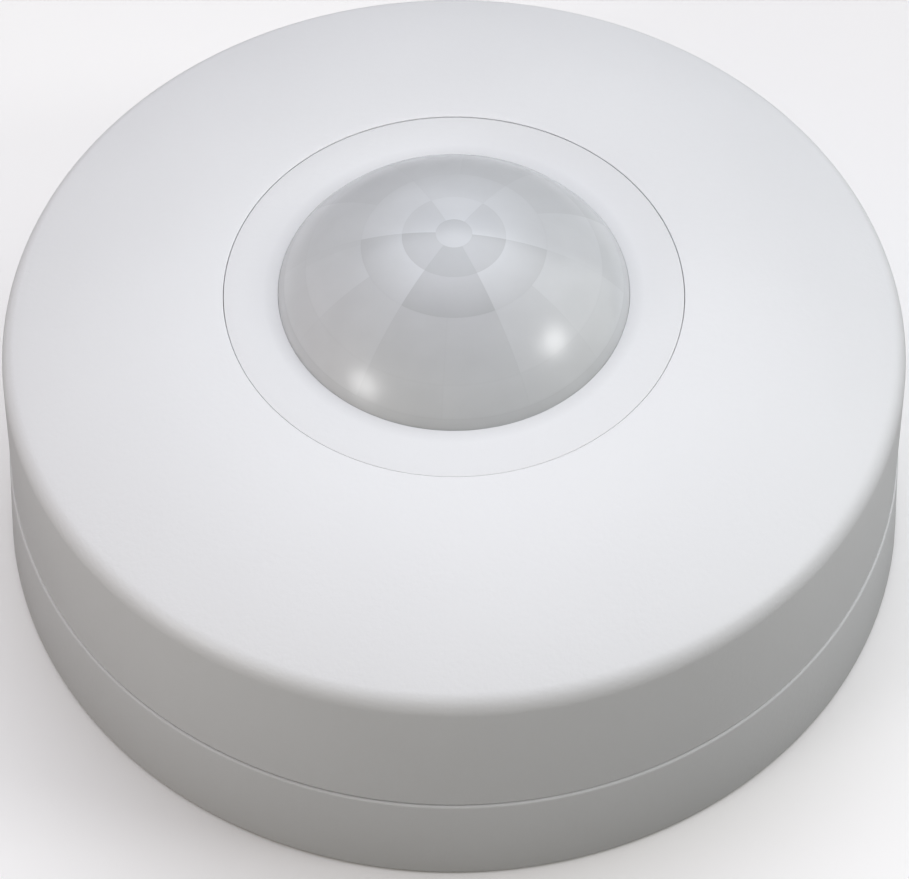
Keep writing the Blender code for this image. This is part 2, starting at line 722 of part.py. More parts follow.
def make_wires(base):
    """Insulated wires from the terminal block, round the cable hole, to the socket."""
    start_y = TERMINAL_Y - TERMINAL_HALF_DEPTH + MM
    end_y = SOCKET_Y + SOCKET_HALF_DEPTH - 2 * MM
    resting = FLOOR_TOP + WIRE_RADIUS + GAP
    waist = {"live": -13.0 * MM, "neutral": -10.3 * MM, "load": 10.6 * MM}
    high, low = ON_FLOOR + 4.6 * MM, ON_FLOOR + 3.4 * MM
    for way, x in WAYS.items():
        end_x = SOCKET_WAYS[way]
        path = [
            (x, start_y, high),
            (x, start_y - 2 * MM, high),
            (waist[way], 7 * MM, resting),
            (waist[way], -7 * MM, resting),
            (end_x, end_y + 3 * MM, low),
            (end_x, end_y, low),
        ]
        curve = bpy.data.curves.new("wire", "CURVE")
        curve.dimensions = "3D"
        curve.bevel_depth = WIRE_RADIUS
        curve.bevel_resolution = 1
        curve.resolution_u = 4
        curve.use_fill_caps = True
        spline = curve.splines.new("BEZIER")
        spline.bezier_points.add(len(path) - 1)
        for i, point in enumerate(spline.bezier_points):
            before = path[max(i - 1, 0)][1] - path[i][1]
            after = path[i][1] - path[min(i + 1, len(path) - 1)][1]
            point.co = path[i]
            point.handle_left_type = point.handle_right_type = "FREE"
            point.handle_left = Vector(path[i]) + Vector((0, 0.4 * before, 0))
            point.handle_right = Vector(path[i]) - Vector((0, 0.4 * after, 0))
        wire = bpy.data.objects.new("wire", curve)
        bpy.context.scene.collection.objects.link(wire)
        piece(wire, f"wire_{way}", base, WIRE_COLOURS[way])


# ---------------------------------------------------------------- electronics


def make_power_board(cover):
    board = rod(POWER_BOARD, POWER_BOTTOM, POWER_TOP, LARGE)
    low, high = POWER_BOTTOM - MM, POWER_TOP + MM
    for angle in LOCK_ANGLES.values():
        cut(board, rod(COLUMN_RADIUS + 0.4 * MM, low, high, SMALL, polar(LOCK_RADIUS, angle)))
    for angle in POST_ANGLES:
        cut(board, rod(1.4 * MM, low, high, TINY, polar(POST_CIRCLE, angle)))
    for x in SOCKET_WAYS.values():
        cut(board, centred_block(3.6 * MM, 1.4 * MM, low, high, (x, SOCKET_Y)))
    piece(board, "power_board", cover, "board_green")


def make_plug(cover):
    """The plug under the power board, and its three blades that enter the base's socket."""
    housing = centred_block(26 * MM, 7 * MM, 15.2 * MM, POWER_BOTTOM - GAP)
    for x in SOCKET_WAYS.values():
        cut(housing, centred_block(3.6 * MM, 1.4 * MM, 14 * MM, 19 * MM, (x, 0)))
    piece(housing, "plug_body", cover, "black_plastic", (0, SOCKET_Y, 0))
    for way, x in SOCKET_WAYS.items():
        blade = centred_block(3.0 * MM, 0.8 * MM, 6.8 * MM, POWER_TOP)
        piece(blade, f"plug_blade_{way}", cover, "tin", (x, SOCKET_Y, 0))


def make_relay(cover):
    """The load relay: open-bottomed case, spool, winding, yoke with core, and hinged armature."""
    x, y = 0.0, -38.7 * MM
    foot = POWER_TOP + GAP
    wide, deep, tall = 9.5 * MM, 7.7 * MM, 14.0 * MM
    skin = 0.8 * MM
    case = block((-wide, -deep, 0), (wide, deep, tall))
    cut(case, block((skin - wide, skin - deep, -MM), (wide - skin, deep - skin, tall - skin)))
    piece(case, "relay_case", cover, "blue_plastic", (x, y, foot))

    coil_x = x - 2.5 * MM
    spool = turned(
        [
            (2.1 * MM, 1.5 * MM),
            (5.0 * MM, 1.5 * MM),
            (5.0 * MM, 2.1 * MM),
            (2.7 * MM, 2.1 * MM),
            (2.7 * MM, 8.9 * MM),
            (5.0 * MM, 8.9 * MM),
            (5.0 * MM, 9.5 * MM),
            (2.1 * MM, 9.5 * MM),
        ]
    )
    piece(spool, "relay_bobbin", cover, "grey_plastic", (coil_x, y, foot))
    winding = turned(
        [
            (2.9 * MM, 2.3 * MM),
            (4.6 * MM, 2.3 * MM),
            (4.6 * MM, 8.7 * MM),
            (2.9 * MM, 8.7 * MM),
        ]
    )
    piece(winding, "relay_coil", cover, "copper", (coil_x, y, foot))

    arm_x = 7.2 * MM
    yoke = block((-3.5 * MM, -4 * MM, 0.3 * MM), (arm_x + MM, 4 * MM, 1.2 * MM))
    join(yoke, block((arm_x, -4 * MM, 0.5 * MM), (arm_x + MM, 4 * MM, 10.4 * MM)))
    join(yoke, rod(1.8 * MM, 0.5 * MM, 10.2 * MM, SMALL))
    piece(yoke, "relay_yoke", cover, "steel", (coil_x, y, foot))

    pivot = (coil_x + arm_x + MM / 2, y, foot + 10.9 * MM)
    armature_body = body("relay_armature_body", pivot, cover)
    armature = block((-11.6 * MM, -3.5 * MM, 0), (MM / 2, 3.5 * MM, 0.8 * MM))
    join(armature, block((-11.6 * MM, -MM, 0.4 * MM), (-10.8 * MM, MM, 1.6 * MM)))
    piece(armature, "relay_armature", armature_body, "steel", pivot)


def capsule(radius, height, sides=SMALL, edge=0.6 * MM):
    """A can with a chamfered top, standing on z = 0."""
    return turned(
        [(0, 0), (radius, 0), (radius, height - edge), (radius - edge, height), (0, height)], sides
    )


def make_power_parts(cover):
    top = POWER_TOP + GAP
    film = centred_block(8.5 * MM, 18 * MM, 0, 13 * MM)
    piece(film, "film_capacitor", cover, "yellow_epoxy", (-38 * MM, 8 * MM, top))
    piece(capsule(5 * MM, 12.5 * MM), "smoothing_capacitor", cover, "black_plastic", (37 * MM, 16 * MM, top))
    piece(capsule(4 * MM, 11 * MM), "filter_capacitor", cover, "black_plastic", (31 * MM, -25 * MM, top))
    disc = capsule(5.2 * MM, 4 * MM)
    disc.data.transform(Matrix.Translation((0, 2 * MM, 6 * MM)) @ Matrix.Rotation(math.pi / 2, 4, "X"))
    piece(disc, "varistor", cover, "blue_plastic", (37.5 * MM, -12 * MM, top), (0, 0, math.radians(70)))
    piece(capsule(4.2 * MM, 7.5 * MM), "fuse", cover, "black_plastic", (17.5 * MM, -38 * MM, top))
    bridge = centred_block(8.5 * MM, 6.4 * MM, 0, 3.3 * MM)
    piece(bridge, "bridge_rectifier", cover, "black_plastic", (22 * MM, 34 * MM, top))
    resistor = capsule(2.2 * MM, 11 * MM, edge=0.8 * MM)
    resistor.data.transform(Matrix.Translation((-5.5 * MM, 0, 2.2 * MM)) @ Matrix.Rotation(math.pi / 2, 4, "Y"))
    piece(resistor, "dropper_resistor", cover, "grey_plastic", (2 * MM, 37 * MM, top))
    header = centred_block(12.6 * MM, 2.5 * MM, 0, SENSOR_BOTTOM - POWER_TOP - 2 * GAP)
    piece(header, "board_header", cover, "black_plastic", (-3 * MM, 11.5 * MM, top))


def make_sensor_board(cover):
    board = rod(SENSOR_BOARD, SENSOR_BOTTOM, SENSOR_TOP, LARGE)
    low, high = SENSOR_BOTTOM - MM, SENSOR_TOP + MM
    for angle in LOCK_ANGLES.values():
        cut(board, rod(COLUMN_RADIUS + 0.4 * MM, low, high, SMALL, polar(LOCK_RADIUS, angle)))
    for at in STAKES:
        cut(board, rod(1.35 * MM, low, high, TINY, at))
    piece(board, "sensor_board", cover, "board_green")
    chip = centred_block(4 * MM, 9.9 * MM, 0, 1.5 * MM)
    piece(chip, "control_chip", cover, "black_plastic", (12.5 * MM, -MM, SENSOR_TOP + GAP))
    cell = capsule(2.2 * MM, 4.6 * MM, edge=0.4 * MM)
    piece(cell, "light_sensor", cover, "cell", (-OPTIC_OFFSET, OPTIC_Y, SENSOR_TOP + GAP))
    lamp = turned([(0, 0), (1.5 * MM, 0)] + arc(1.5 * MM, 0, math.pi / 2, 3, (0, 5.4 * MM))[:-1] + [(0, 6.9 * MM)])
    piece(lamp, "indicator_lamp", cover, "red_led", (OPTIC_OFFSET, OPTIC_Y, SENSOR_TOP + GAP))


def make_heat_sensor(cover):
    """The pyroelectric sensor: a metal can with a filter window, on a collar in the cover's eye."""
    foot = SENSOR_TOP + GAP
    collar = turned(
        [
            (3.4 * MM, foot),
            (6.8 * MM, foot),
            (6.8 * MM, 33.6 * MM),
            (5.1 * MM, 33.6 * MM),
            (5.1 * MM, 32.9 * MM),
            (3.4 * MM, 32.9 * MM),
        ],
        MEDIUM,
    )
    piece(collar, "heat_sensor_collar", cover, "white_abs")
    can = turned(
        [
            (0, 33.2 * MM),
            (4.7 * MM, 33.2 * MM),
            (4.7 * MM, 33.8 * MM),
            (4.1 * MM, 33.8 * MM),
            (4.1 * MM, 37.2 * MM),
            (3.8 * MM, 37.5 * MM),
            (0, 37.5 * MM),
        ],
        MEDIUM,
    )
    for angle in (math.radians(90), math.radians(210), math.radians(330)):
        lead = rod(0.3 * MM, foot, 33.5 * MM, 6, polar(2.0 * MM, angle))
        join(can, lead)
    cut(can, centred_block(4.6 * MM, 3.6 * MM, 36.8 * MM, 38 * MM))
    piece(can, "heat_sensor_can", cover, "steel")
    window = centred_block(4.1 * MM, 3.1 * MM, 37.0 * MM, 37.4 * MM)
    piece(window, "heat_sensor_window", cover, "dark_glass")


def make_adjusters(cover):
    """Trimmers on the sensor board, each with a slotted knob that turns in the well's floor."""
    foot = SENSOR_TOP + GAP
    for name, angle in KNOB_ANGLES.items():
        at = (*polar(KNOB_CIRCLE, angle), foot)
        trimmer = centred_block(7 * MM, 7 * MM, 0, 3.4 * MM)
        cut(trimmer, rod(2.0 * MM, 0.8 * MM, 5 * MM, SMALL))
        turn = (0, 0, angle)
        piece(trimmer, f"trimmer_{name}", cover, "blue_plastic", at, turn)
        knob_body = body(f"knob_{name}_body", at, cover)
        top = KNOB_TOP - foot
        knob = turned(
            [
                (0, 1.2 * MM),
                (1.6 * MM, 1.2 * MM),
                (1.6 * MM, 3.7 * MM),
                (KNOB_RADIUS, 3.7 * MM),
                (KNOB_RADIUS, top - EDGE),
                (KNOB_RADIUS - EDGE, top),
                (0, top),
            ]
        )
        cut(knob, centred_block(5.0 * MM, 1.0 * MM, top - 1.1 * MM, top + MM))
        piece(knob, f"knob_{name}", knob_body, "grey_plastic", at, turn)


# ---------------------------------------------------------------- assembly


def main():
    for obj in list(bpy.data.objects):
        bpy.data.objects.remove(obj)
    base = body("base")
    cover = body("cover")
    lens = body("lens")
    ring = body("ring", parent=lens)
    make_base_shell(base)
    make_grommet(base)
    make_terminal_block(base)
    make_socket(base)
    make_wires(base)
    make_cover_shell(cover)
    make_power_board(cover)
    make_board_screws(cover)
    make_plug(cover)
    make_relay(cover)
    make_power_parts(cover)
    make_sensor_board(cover)
    make_heat_sensor(cover)
    make_adjusters(cover)
    make_cover_screws(cover)
    make_lens(lens)
    make_lens_ring(ring)


main()
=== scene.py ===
"""The looks of the ceiling motion sensor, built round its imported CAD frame."""

from math import asin, atan2, cos, floor, pi, radians, sin, sqrt, tan, tau

import bmesh
import bpy
from mathutils import Matrix, Vector


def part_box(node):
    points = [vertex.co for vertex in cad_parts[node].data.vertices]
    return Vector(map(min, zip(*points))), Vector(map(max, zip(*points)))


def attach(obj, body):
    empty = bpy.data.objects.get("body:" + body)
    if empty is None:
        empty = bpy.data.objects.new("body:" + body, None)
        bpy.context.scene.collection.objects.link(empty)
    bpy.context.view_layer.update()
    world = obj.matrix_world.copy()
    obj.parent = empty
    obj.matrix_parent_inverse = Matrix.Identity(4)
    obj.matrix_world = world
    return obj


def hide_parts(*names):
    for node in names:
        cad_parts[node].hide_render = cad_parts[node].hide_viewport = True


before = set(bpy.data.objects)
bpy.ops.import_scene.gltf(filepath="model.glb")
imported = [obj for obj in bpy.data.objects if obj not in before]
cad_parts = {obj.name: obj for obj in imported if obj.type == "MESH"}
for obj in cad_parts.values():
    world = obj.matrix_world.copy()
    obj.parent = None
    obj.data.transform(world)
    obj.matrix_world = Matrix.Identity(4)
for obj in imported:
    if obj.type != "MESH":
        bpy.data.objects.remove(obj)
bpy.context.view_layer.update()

MM = 0.001


def box(name):
    """A CAD node's lowest and highest corners, in millimetres."""
    low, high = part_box(name)
    return low / MM, high / MM


# The sensor's sizes are in millimetres, scaled to metres as its points are made.
# The floor and the lamps are in metres, and the noise scales are per metre.
SIDES = 224  # round pieces seen from outside
FINE, SMALL = 96, 48  # smaller round pieces
BITE = 0.6  # how far a joined or cutting shape reaches into or past its neighbour

# The outline, as in the CAD
BASE_RADIUS = box("base_shell")[1].x
SEAM_RADIUS, SEAM_HEIGHT = 56.65, 13.85
LIP_TOP = box("base_shell")[1].z
FLOOR_BOTTOM, FLOOR_TOP = 2.2, 4.4
RIM_INNER, LIP_INNER, LIP_OUTER = 54.6, 54.2, 55.2
CABLE_HOLE, CABLE_COLLAR = 7.2, (9.4, 10.8)
FIXING_SLOT_X, FIXING_SLOT_TRAVEL = 28, 3.5
BOSS_TOP, BOSS_RADIUS = 15.5, 3.6
COVER_FOOT_RADIUS, COVER_FOOT = box("cover_shell")[1].x, box("cover_shell")[0].z
SHOULDER_RADIUS, SHOULDER_HEIGHT = 55.92, 32.40
SHOULDER_ROUND, SHOULDER_TILT = 3.0, radians(24.72)
CROWN_FLAT = 24.0
WALL, ROOF = 2.4, 2.2
LIP_GAP = 0.3
WELL_RADIUS, WELL_OUTER = 28.2, 30.4
WELL_FLOOR, WELL_BOTTOM = 33.0, 31.0
EYE_RADIUS = 7.6
LOCKS = [radians(150), radians(330)]
LOCK_CIRCLE = 22.0
POSTS = [radians(120 * i) for i in range(3)]
POST_CIRCLE = 44.0
STAKES = [(9.5, 13.0), (-12.0, 3.5), (9.0, -13.5)]
KNOBS = {"light": radians(30), "time": radians(90), "range": radians(210)}
KNOB_CIRCLE, KNOB_RADIUS = 19.5, 3.1
WINDOW_Y, WINDOW_X = -19.5, 3.3  # the lamp is this far right of the middle, the light cell left
LEGS = [radians(60 + 120 * i) for i in range(3)]
HOOKS = [radians(120 * i) for i in range(3)]
LUGS = [radians(24 + 120 * i) for i in range(3)]
LEG_CIRCLE = 21.6
RING_INNER, RING_OUTER = 21.50, box("lens_ring")[1].x
RING_WALL, RING_UNDERSIDE = 1.3, 41.3
RING_BOTTOM = box("lens_ring")[0].z + 0.2
LENS_TOP = box("lens_dome")[1].z
DOME_FOOT, DOME_WIDE, DOME_TALL = 42.12, 23.75, 18.92
DOME_CENTRE = LENS_TOP - DOME_TALL
LENS_SPIN = radians(-4)
GROOVES_END, GROOVE_DEPTH, GROOVE_PITCH = 20.0, 0.14, 1.3
FACET_RINGS = [(2.2, 1), (6.25, 6), (11.2, 6), (18.0, 12), (20.7, 12)]
WAYS = {"live": -10.5, "neutral": 0.0, "load": 10.5}
TERMINAL_Y, EAR_X = 33.5, 20.25
SOCKET_WAYS = {"live": -9.0, "neutral": 0.0, "load": 9.0}
SOCKET_Y = -36
BLOCKS_FOOT, TERMINAL_WIRE, SOCKET_WIRE = 4.7, 4.6, 3.4  # the wires' axes are above the foot


# ---------------------------------------------------------------- mesh tools


def polar(radius, angle):
    return radius * cos(angle), radius * sin(angle)


def added(name, data):
    obj = bpy.data.objects.new(name, data)
    bpy.context.scene.collection.objects.link(obj)
    return obj


def point(bm, x, y, z):
    return bm.verts.new((x * MM, y * MM, z * MM))


def made(bm, smooth=35):
    """An object from a bmesh, shaded smooth up to this many degrees."""
    bmesh.ops.remove_doubles(bm, verts=bm.verts, dist=1e-7)
    bmesh.ops.recalc_face_normals(bm, faces=bm.faces)
    mesh = bpy.data.meshes.new("shape")
    bm.to_mesh(mesh)
    bm.free()
    mesh.shade_smooth()
    mesh.set_sharp_from_angle(angle=radians(smooth))
    return added("shape", mesh)


def fillet(corners, steps=5):
    """A closed outline with its (radius, height, rounding) corners rounded."""
    points = []
    for i, corner in enumerate(corners):
        here = Vector(corner[:2])
        size = corner[2] if len(corner) > 2 else 0
        if not size:
            points.append(tuple(here))
            continue
        before = (Vector(corners[i - 1][:2]) - here).normalized()
        after = (Vector(corners[(i + 1) % len(corners)][:2]) - here).normalized()
        half = before.angle(after) / 2
        centre = here + (before + after).normalized() * size / sin(half)
        start = here + before * size / tan(half) - centre
        end = here + after * size / tan(half) - centre
        first = atan2(start.y, start.x)
        sweep = (atan2(end.y, end.x) - first + pi) % tau - pi
        for k in range(steps + 1):
            points.append(tuple(centre + Vector(polar(size, first + sweep * k / steps))))
    return points


def lathe(outline, sides=FINE, relief=None, smooth=35):
    """Turns a closed (radius, height) outline about Z. relief may move each point."""
    bm = bmesh.new()
    rings = []
    for r, z in outline:
        if not r:
            rings.append([point(bm, 0, 0, z)])
            continue
        ring = []
        for i in range(sides):
            angle = tau * i / sides
            out, up = relief(r, z, angle) if relief else (r, z)
            ring.append(point(bm, *polar(out, angle), up))
        rings.append(ring)
    for near, far in zip(rings, rings[1:] + rings[:1]):
        if len(near) == len(far) == 1:
            continue
        for i in range(sides):
            if len(near) == 1:
                bm.faces.new((near[0], far[i], far[i - 1]))
            elif len(far) == 1:
                bm.faces.new((near[i - 1], near[i], far[0]))
            else:
                bm.faces.new((near[i - 1], near[i], far[i], far[i - 1]))
    return made(bm, smooth)


def section(near, far, low, high, roundings):
    """A rectangle to turn about Z, its corners starting at the inner bottom one."""
    corners = [(near, low), (far, low), (far, high), (near, high)]
    return [(*corner, rounding) for corner, rounding in zip(corners, roundings)]


def spun(corners, sides=FINE, relief=None):
    return lathe(fillet(corners), sides, relief)


def swept(outline, middle, half_angle, steps=12):
    """Turns a closed outline through an arc about Z."""
    bm = bmesh.new()
    loops = []
    for i in range(steps + 1):
        angle = middle + half_angle * (2 * i / steps - 1)
        loops.append([point(bm, *polar(r, angle), z) for r, z in outline])
    for near, far in zip(loops, loops[1:]):
        for i in range(len(outline)):
            bm.faces.new((near[i - 1], near[i], far[i], far[i - 1]))
    bm.faces.new(loops[0])
    bm.faces.new(loops[-1])
    return made(bm)


def rod(radius, bottom, top, at=(0, 0), sides=SMALL):
    obj = lathe([(0, bottom), (radius, bottom), (radius, top), (0, top)], sides)
    return placed(obj, at)


def extruded(outline, bottom, top, rounding=0.0):
    bm = bmesh.new()
    face = bm.faces.new([point(bm, x, y, bottom) for x, y in outline])
    raised = bmesh.ops.extrude_face_region(bm, geom=[face])["geom"]
    lifted = [item for item in raised if isinstance(item, bmesh.types.BMVert)]
    bmesh.ops.translate(bm, verts=lifted, vec=(0, 0, (top - bottom) * MM))
    if rounding:
        size = rounding * MM
        bmesh.ops.bevel(bm, geom=bm.edges, offset=size, segments=3, profile=0.5, affect="EDGES")
    return made(bm)


def box_between(low, high, rounding=0.0):
    outline = [(low[0], low[1]), (high[0], low[1]), (high[0], high[1]), (low[0], high[1])]
    return extruded(outline, low[2], high[2], rounding)


def plan_box(width, depth, bottom, top, at=(0, 0), rounding=0.0):
    low = (at[0] - width / 2, at[1] - depth / 2, bottom)
    return box_between(low, (at[0] + width / 2, at[1] + depth / 2, top), rounding)


def stadium(radius, travel, bottom, top, at):
    """A slot's shape: a round that travels this far each way along X."""
    outline = []
    for side, start in ((1, -pi / 2), (-1, pi / 2)):
        for i in range(17):
            x, y = polar(radius, start + pi * i / 16)
            outline.append((at[0] + side * travel + x, at[1] + y))
    return extruded(outline, bottom, top)


def placed(obj, at, angle=0.0, axis="Z"):
    """Turns a shape about an axis through the origin, then moves it by X, Y and perhaps Z."""
    move = Matrix.Translation([v * MM for v in (*at, 0)[:3]])
    obj.data.transform(move @ Matrix.Rotation(angle, 4, axis))
    return obj


def turned(obj, angle, axis="Z"):
    return placed(obj, (0, 0), angle, axis)


def centre_of(low, high):
    return (low.x + high.x) / 2, (low.y + high.y) / 2


def combine(target, tools, operation):
    for tool in tools:
        modifier = target.modifiers.new("combine", "BOOLEAN")
        modifier.operation = operation
        modifier.object = tool
        graph = bpy.context.evaluated_depsgraph_get()
        result = bpy.data.meshes.new_from_object(target.evaluated_get(graph))
        target.modifiers.clear()
        target.data = result
        bpy.data.objects.remove(tool)
        bm = bmesh.new()
        bm.from_mesh(result)
        bmesh.ops.remove_doubles(bm, verts=bm.verts, dist=2e-6)
        bm.to_mesh(result)
        bm.free()
    target.data.shade_smooth()
    target.data.set_sharp_from_angle(angle=radians(35))
    return target


def cut(target, *tools):
    return combine(target, tools, "DIFFERENCE")


def join(target, *tools):
    return combine(target, tools, "UNION")


def gathered(objs):
    """One object from many, for repeats too small to name."""
    bm = bmesh.new()
    for obj in objs:
        bm.from_mesh(obj.data)
        bpy.data.objects.remove(obj)
    return made(bm)


def tube(path, radius, sides, steps):
    """A round wire along a smooth path of points."""
    curve = bpy.data.curves.new("tube", "CURVE")
    curve.dimensions = "3D"
    curve.bevel_depth = radius * MM
    curve.bevel_resolution = sides // 4
    curve.resolution_u = steps
    curve.use_fill_caps = True
    spline = curve.splines.new("BEZIER")
    spline.bezier_points.add(len(path) - 1)
    for i, knot in enumerate(spline.bezier_points):
        before, after = path[max(i - 1, 0)] * MM, path[min(i + 1, len(path) - 1)] * MM
        here = path[i] * MM
        along = (after - before).normalized()
        knot.co = here
        knot.handle_left_type = knot.handle_right_type = "FREE"
        knot.handle_left = here - along * (here - before).length * 0.38
        knot.handle_right = here + along * (after - here).length * 0.38
    obj = added("tube", curve)
    graph = bpy.context.evaluated_depsgraph_get()
    mesh = bpy.data.meshes.new_from_object(obj.evaluated_get(graph))
    bpy.data.objects.remove(obj)
    bm = bmesh.new()
    bm.from_mesh(mesh)
    return made(bm, 50)


def piece(obj, name, body, finish, *nodes):
    """Names a piece, gives it its finish and body, and stands it in for CAD nodes."""
    obj.name = obj.data.name = name
    obj.data.materials.clear()
    obj.data.materials.append(finish)
    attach(obj, body)
    if nodes:
        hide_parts(*nodes)
    return obj


# ---------------------------------------------------------------- surfaces


def feed(target, inputs):
    """Sets a node's inputs, each from a socket or to a plain value."""
    for key, value in inputs.items():
        if isinstance(value, bpy.types.NodeSocket):
            target.id_data.links.new(value, target.inputs[key])
        else:
            target.inputs[key].default_value = value


def node(kind, inputs, **settings):
    """A node in the tree that its inputs come from."""
    tree = next(value.id_data for value in inputs.values() if isinstance(value, bpy.types.NodeSocket))
    new = tree.nodes.new("ShaderNode" + kind)
    for key, value in settings.items():
        setattr(new, key, value)
    feed(new, inputs)
    return new


def maths(operation, *values):
    return node("Math", dict(enumerate(values)), operation=operation).outputs[0]


def plus(first, second):
    return maths("ADD", first, second)


def minus(first, second):
    return maths("SUBTRACT", first, second)


def times(first, second):
    return maths("MULTIPLY", first, second)


def scaled(vector, factor):
    return node("VectorMath", {0: vector, "Scale": factor}, operation="SCALE").outputs[0]


def plan_place(coords):
    """How far a point is from the lens axis, and its X and Y."""
    split = node("SeparateXYZ", {0: coords})
    x, y = split.outputs["X"], split.outputs["Y"]
    return maths("SQRT", plus(times(x, x), times(y, y))), x, y


def noise(coords, scale, detail=2.0, rough=0.5):
    inputs = {"Vector": coords, "Scale": scale, "Detail": detail, "Roughness": rough}
    return node("TexNoise", inputs).outputs["Fac"]


def ranged(value, low, high, from_low=0.3, from_high=0.7):
    inputs = {"Value": value, "From Min": from_low, "From Max": from_high, "To Min": low, "To Max": high}
    return node("MapRange", inputs).outputs["Result"]


def blended(factor, first, second):
    """Mixes two colours, each a socket or a tuple."""
    mix = node("Mix", {0: factor}, data_type="RGBA")
    colours = [socket for socket in mix.inputs if socket.type == "RGBA"]
    for socket, colour in zip(colours, (first, second)):
        if isinstance(colour, tuple):
            socket.default_value = (*colour, 1)
        else:
            mix.id_data.links.new(colour, socket)
    return next(socket for socket in mix.outputs if socket.type == "RGBA")


def surface(name):
    """A new material, with its shader and its object coordinates."""
    material = bpy.data.materials.new(name)
    material.use_nodes = True
    nodes = material.node_tree.nodes
    return material, nodes["Principled BSDF"], nodes.new("ShaderNodeTexCoord").outputs["Object"]


def bumped(shader, height, distance):
    bump = node("Bump", {"Distance": distance, "Strength": 1.0, "Height": height})
    feed(shader, {"Normal": bump.outputs["Normal"]})


def plastic(name, colour, roughness, grain, depth, vary, sheen=0.0, shade=0.0):
    """Moulded plastic: a fine grain, faint colour drift and uneven gloss.

    grain is per metre and depth in millimetres. sheen adds a glossy coat. shade paints a soft shadow on it
    next to the lens.
    """
    material, shader, coords = surface(name)
    fine = noise(coords, grain, 3.0, 0.6)
    broad = noise(coords, 35, 2.0)
    dark = tuple(c * (1 - vary) for c in colour)
    pale = tuple(min(1, c * (1 + vary)) for c in colour)
    toned = blended(ranged(broad, 0, 1), dark, pale)
    # Painted shadow: darker by up to shade within SHADE_WIDTH of the lens's edge, where the lens casts a soft
    # shadow
    if shade:
        radius = plan_place(coords)[0]
        lens_shadow_factor = ranged(radius, 1 - shade, 1, RING_INNER * MM, (RING_INNER + SHADE_WIDTH) * MM)
        toned = scaled(toned, lens_shadow_factor)
    gloss = plus(ranged(broad, -0.03, 0.03), ranged(fine, -0.04, 0.04))
    feed(shader, {"Base Color": toned, "Roughness": plus(gloss, roughness)})
    bumped(shader, fine, depth * MM)
    if sheen:
        feed(shader, {"Coat Weight": sheen, "Coat Roughness": 0.25})
    return material


def metal(name, colour, roughness=0.3, stretch=(1, 1, 12), scale=900):
    """Plated or drawn metal: stretched scratches over cloudy gloss."""
    material, shader, coords = surface(name)
    mapping = node("Mapping", {"Vector": coords, "Scale": stretch})
    scratches = noise(mapping.outputs["Vector"], scale, 4.0, 0.65)
    clouds = noise(coords, 160, 3.0)
    dull = tuple(c * 0.82 for c in colour)
    gloss = plus(ranged(scratches, -0.06, 0.08), ranged(clouds, -0.05, 0.05))
    looks = {
        "Base Color": blended(ranged(clouds, 0, 1), dull, colour),
        "Roughness": plus(gloss, roughness),
        "Metallic": 1.0,
    }
    feed(shader, looks)
    bumped(shader, scratches, 0.008 * MM)
    return material


def wound(name, colour, pitch=0.24 * MM):
    """Enamelled wire wound on a spool, each turn painted darker towards its edges as shade in the grooves
    between turns.
    """
    material, shader, coords = surface(name)
    split = node("SeparateXYZ", {0: coords})
    turns = maths("PINGPONG", times(split.outputs["Z"], 2 / pitch), 1.0)
    # Painted shade: the colour darkens towards each turn's edges, in the grooves between turns
    dark = tuple(c * 0.35 for c in colour)
    feed(shader, {"Base Color": blended(turns, dark, colour), "Metallic": 0.85, "Roughness": 0.3})
    bumped(shader, turns, 0.05 * MM)
    return material


def circuit(name, mask, copper, glass):
    """Green solder mask over woven glass, with tracks showing through as paler lines."""
    material, shader, coords = surface(name)
    cells = {"Vector": coords, "Scale": 210, "Randomness": 0.55}
    tracks = node("TexVoronoi", cells, feature="DISTANCE_TO_EDGE")
    lines = ranged(tracks.outputs["Distance"], 1, 0, 0.10, 0.14)
    pour = ranged(noise(coords, 55, 0.0), 0, 1, 0.52, 0.53)
    covered = maths("MAXIMUM", times(lines, 0.8), pour)
    weave = noise(coords, 2600, 1.0)
    body = blended(ranged(weave, 0.0, 0.35), mask, glass)
    looks = {"Base Color": blended(covered, body, copper), "Roughness": ranged(weave, 0.3, 0.42)}
    feed(shader, looks)
    bumped(shader, covered, 0.03 * MM)
    return material


def rubbery(name, colour):
    """Soft rubber with a pale bloom."""
    material, shader, coords = surface(name)
    fine = noise(coords, 2200, 4.0, 0.7)
    bloom = noise(coords, 120, 3.0)
    pale = tuple(c * 1.9 + 0.015 for c in colour)
    toned = blended(ranged(bloom, 0, 0.6), colour, pale)
    feed(shader, {"Base Color": toned, "Roughness": ranged(fine, 0.66, 0.85)})
    bumped(shader, fine, 0.015 * MM)
    return material


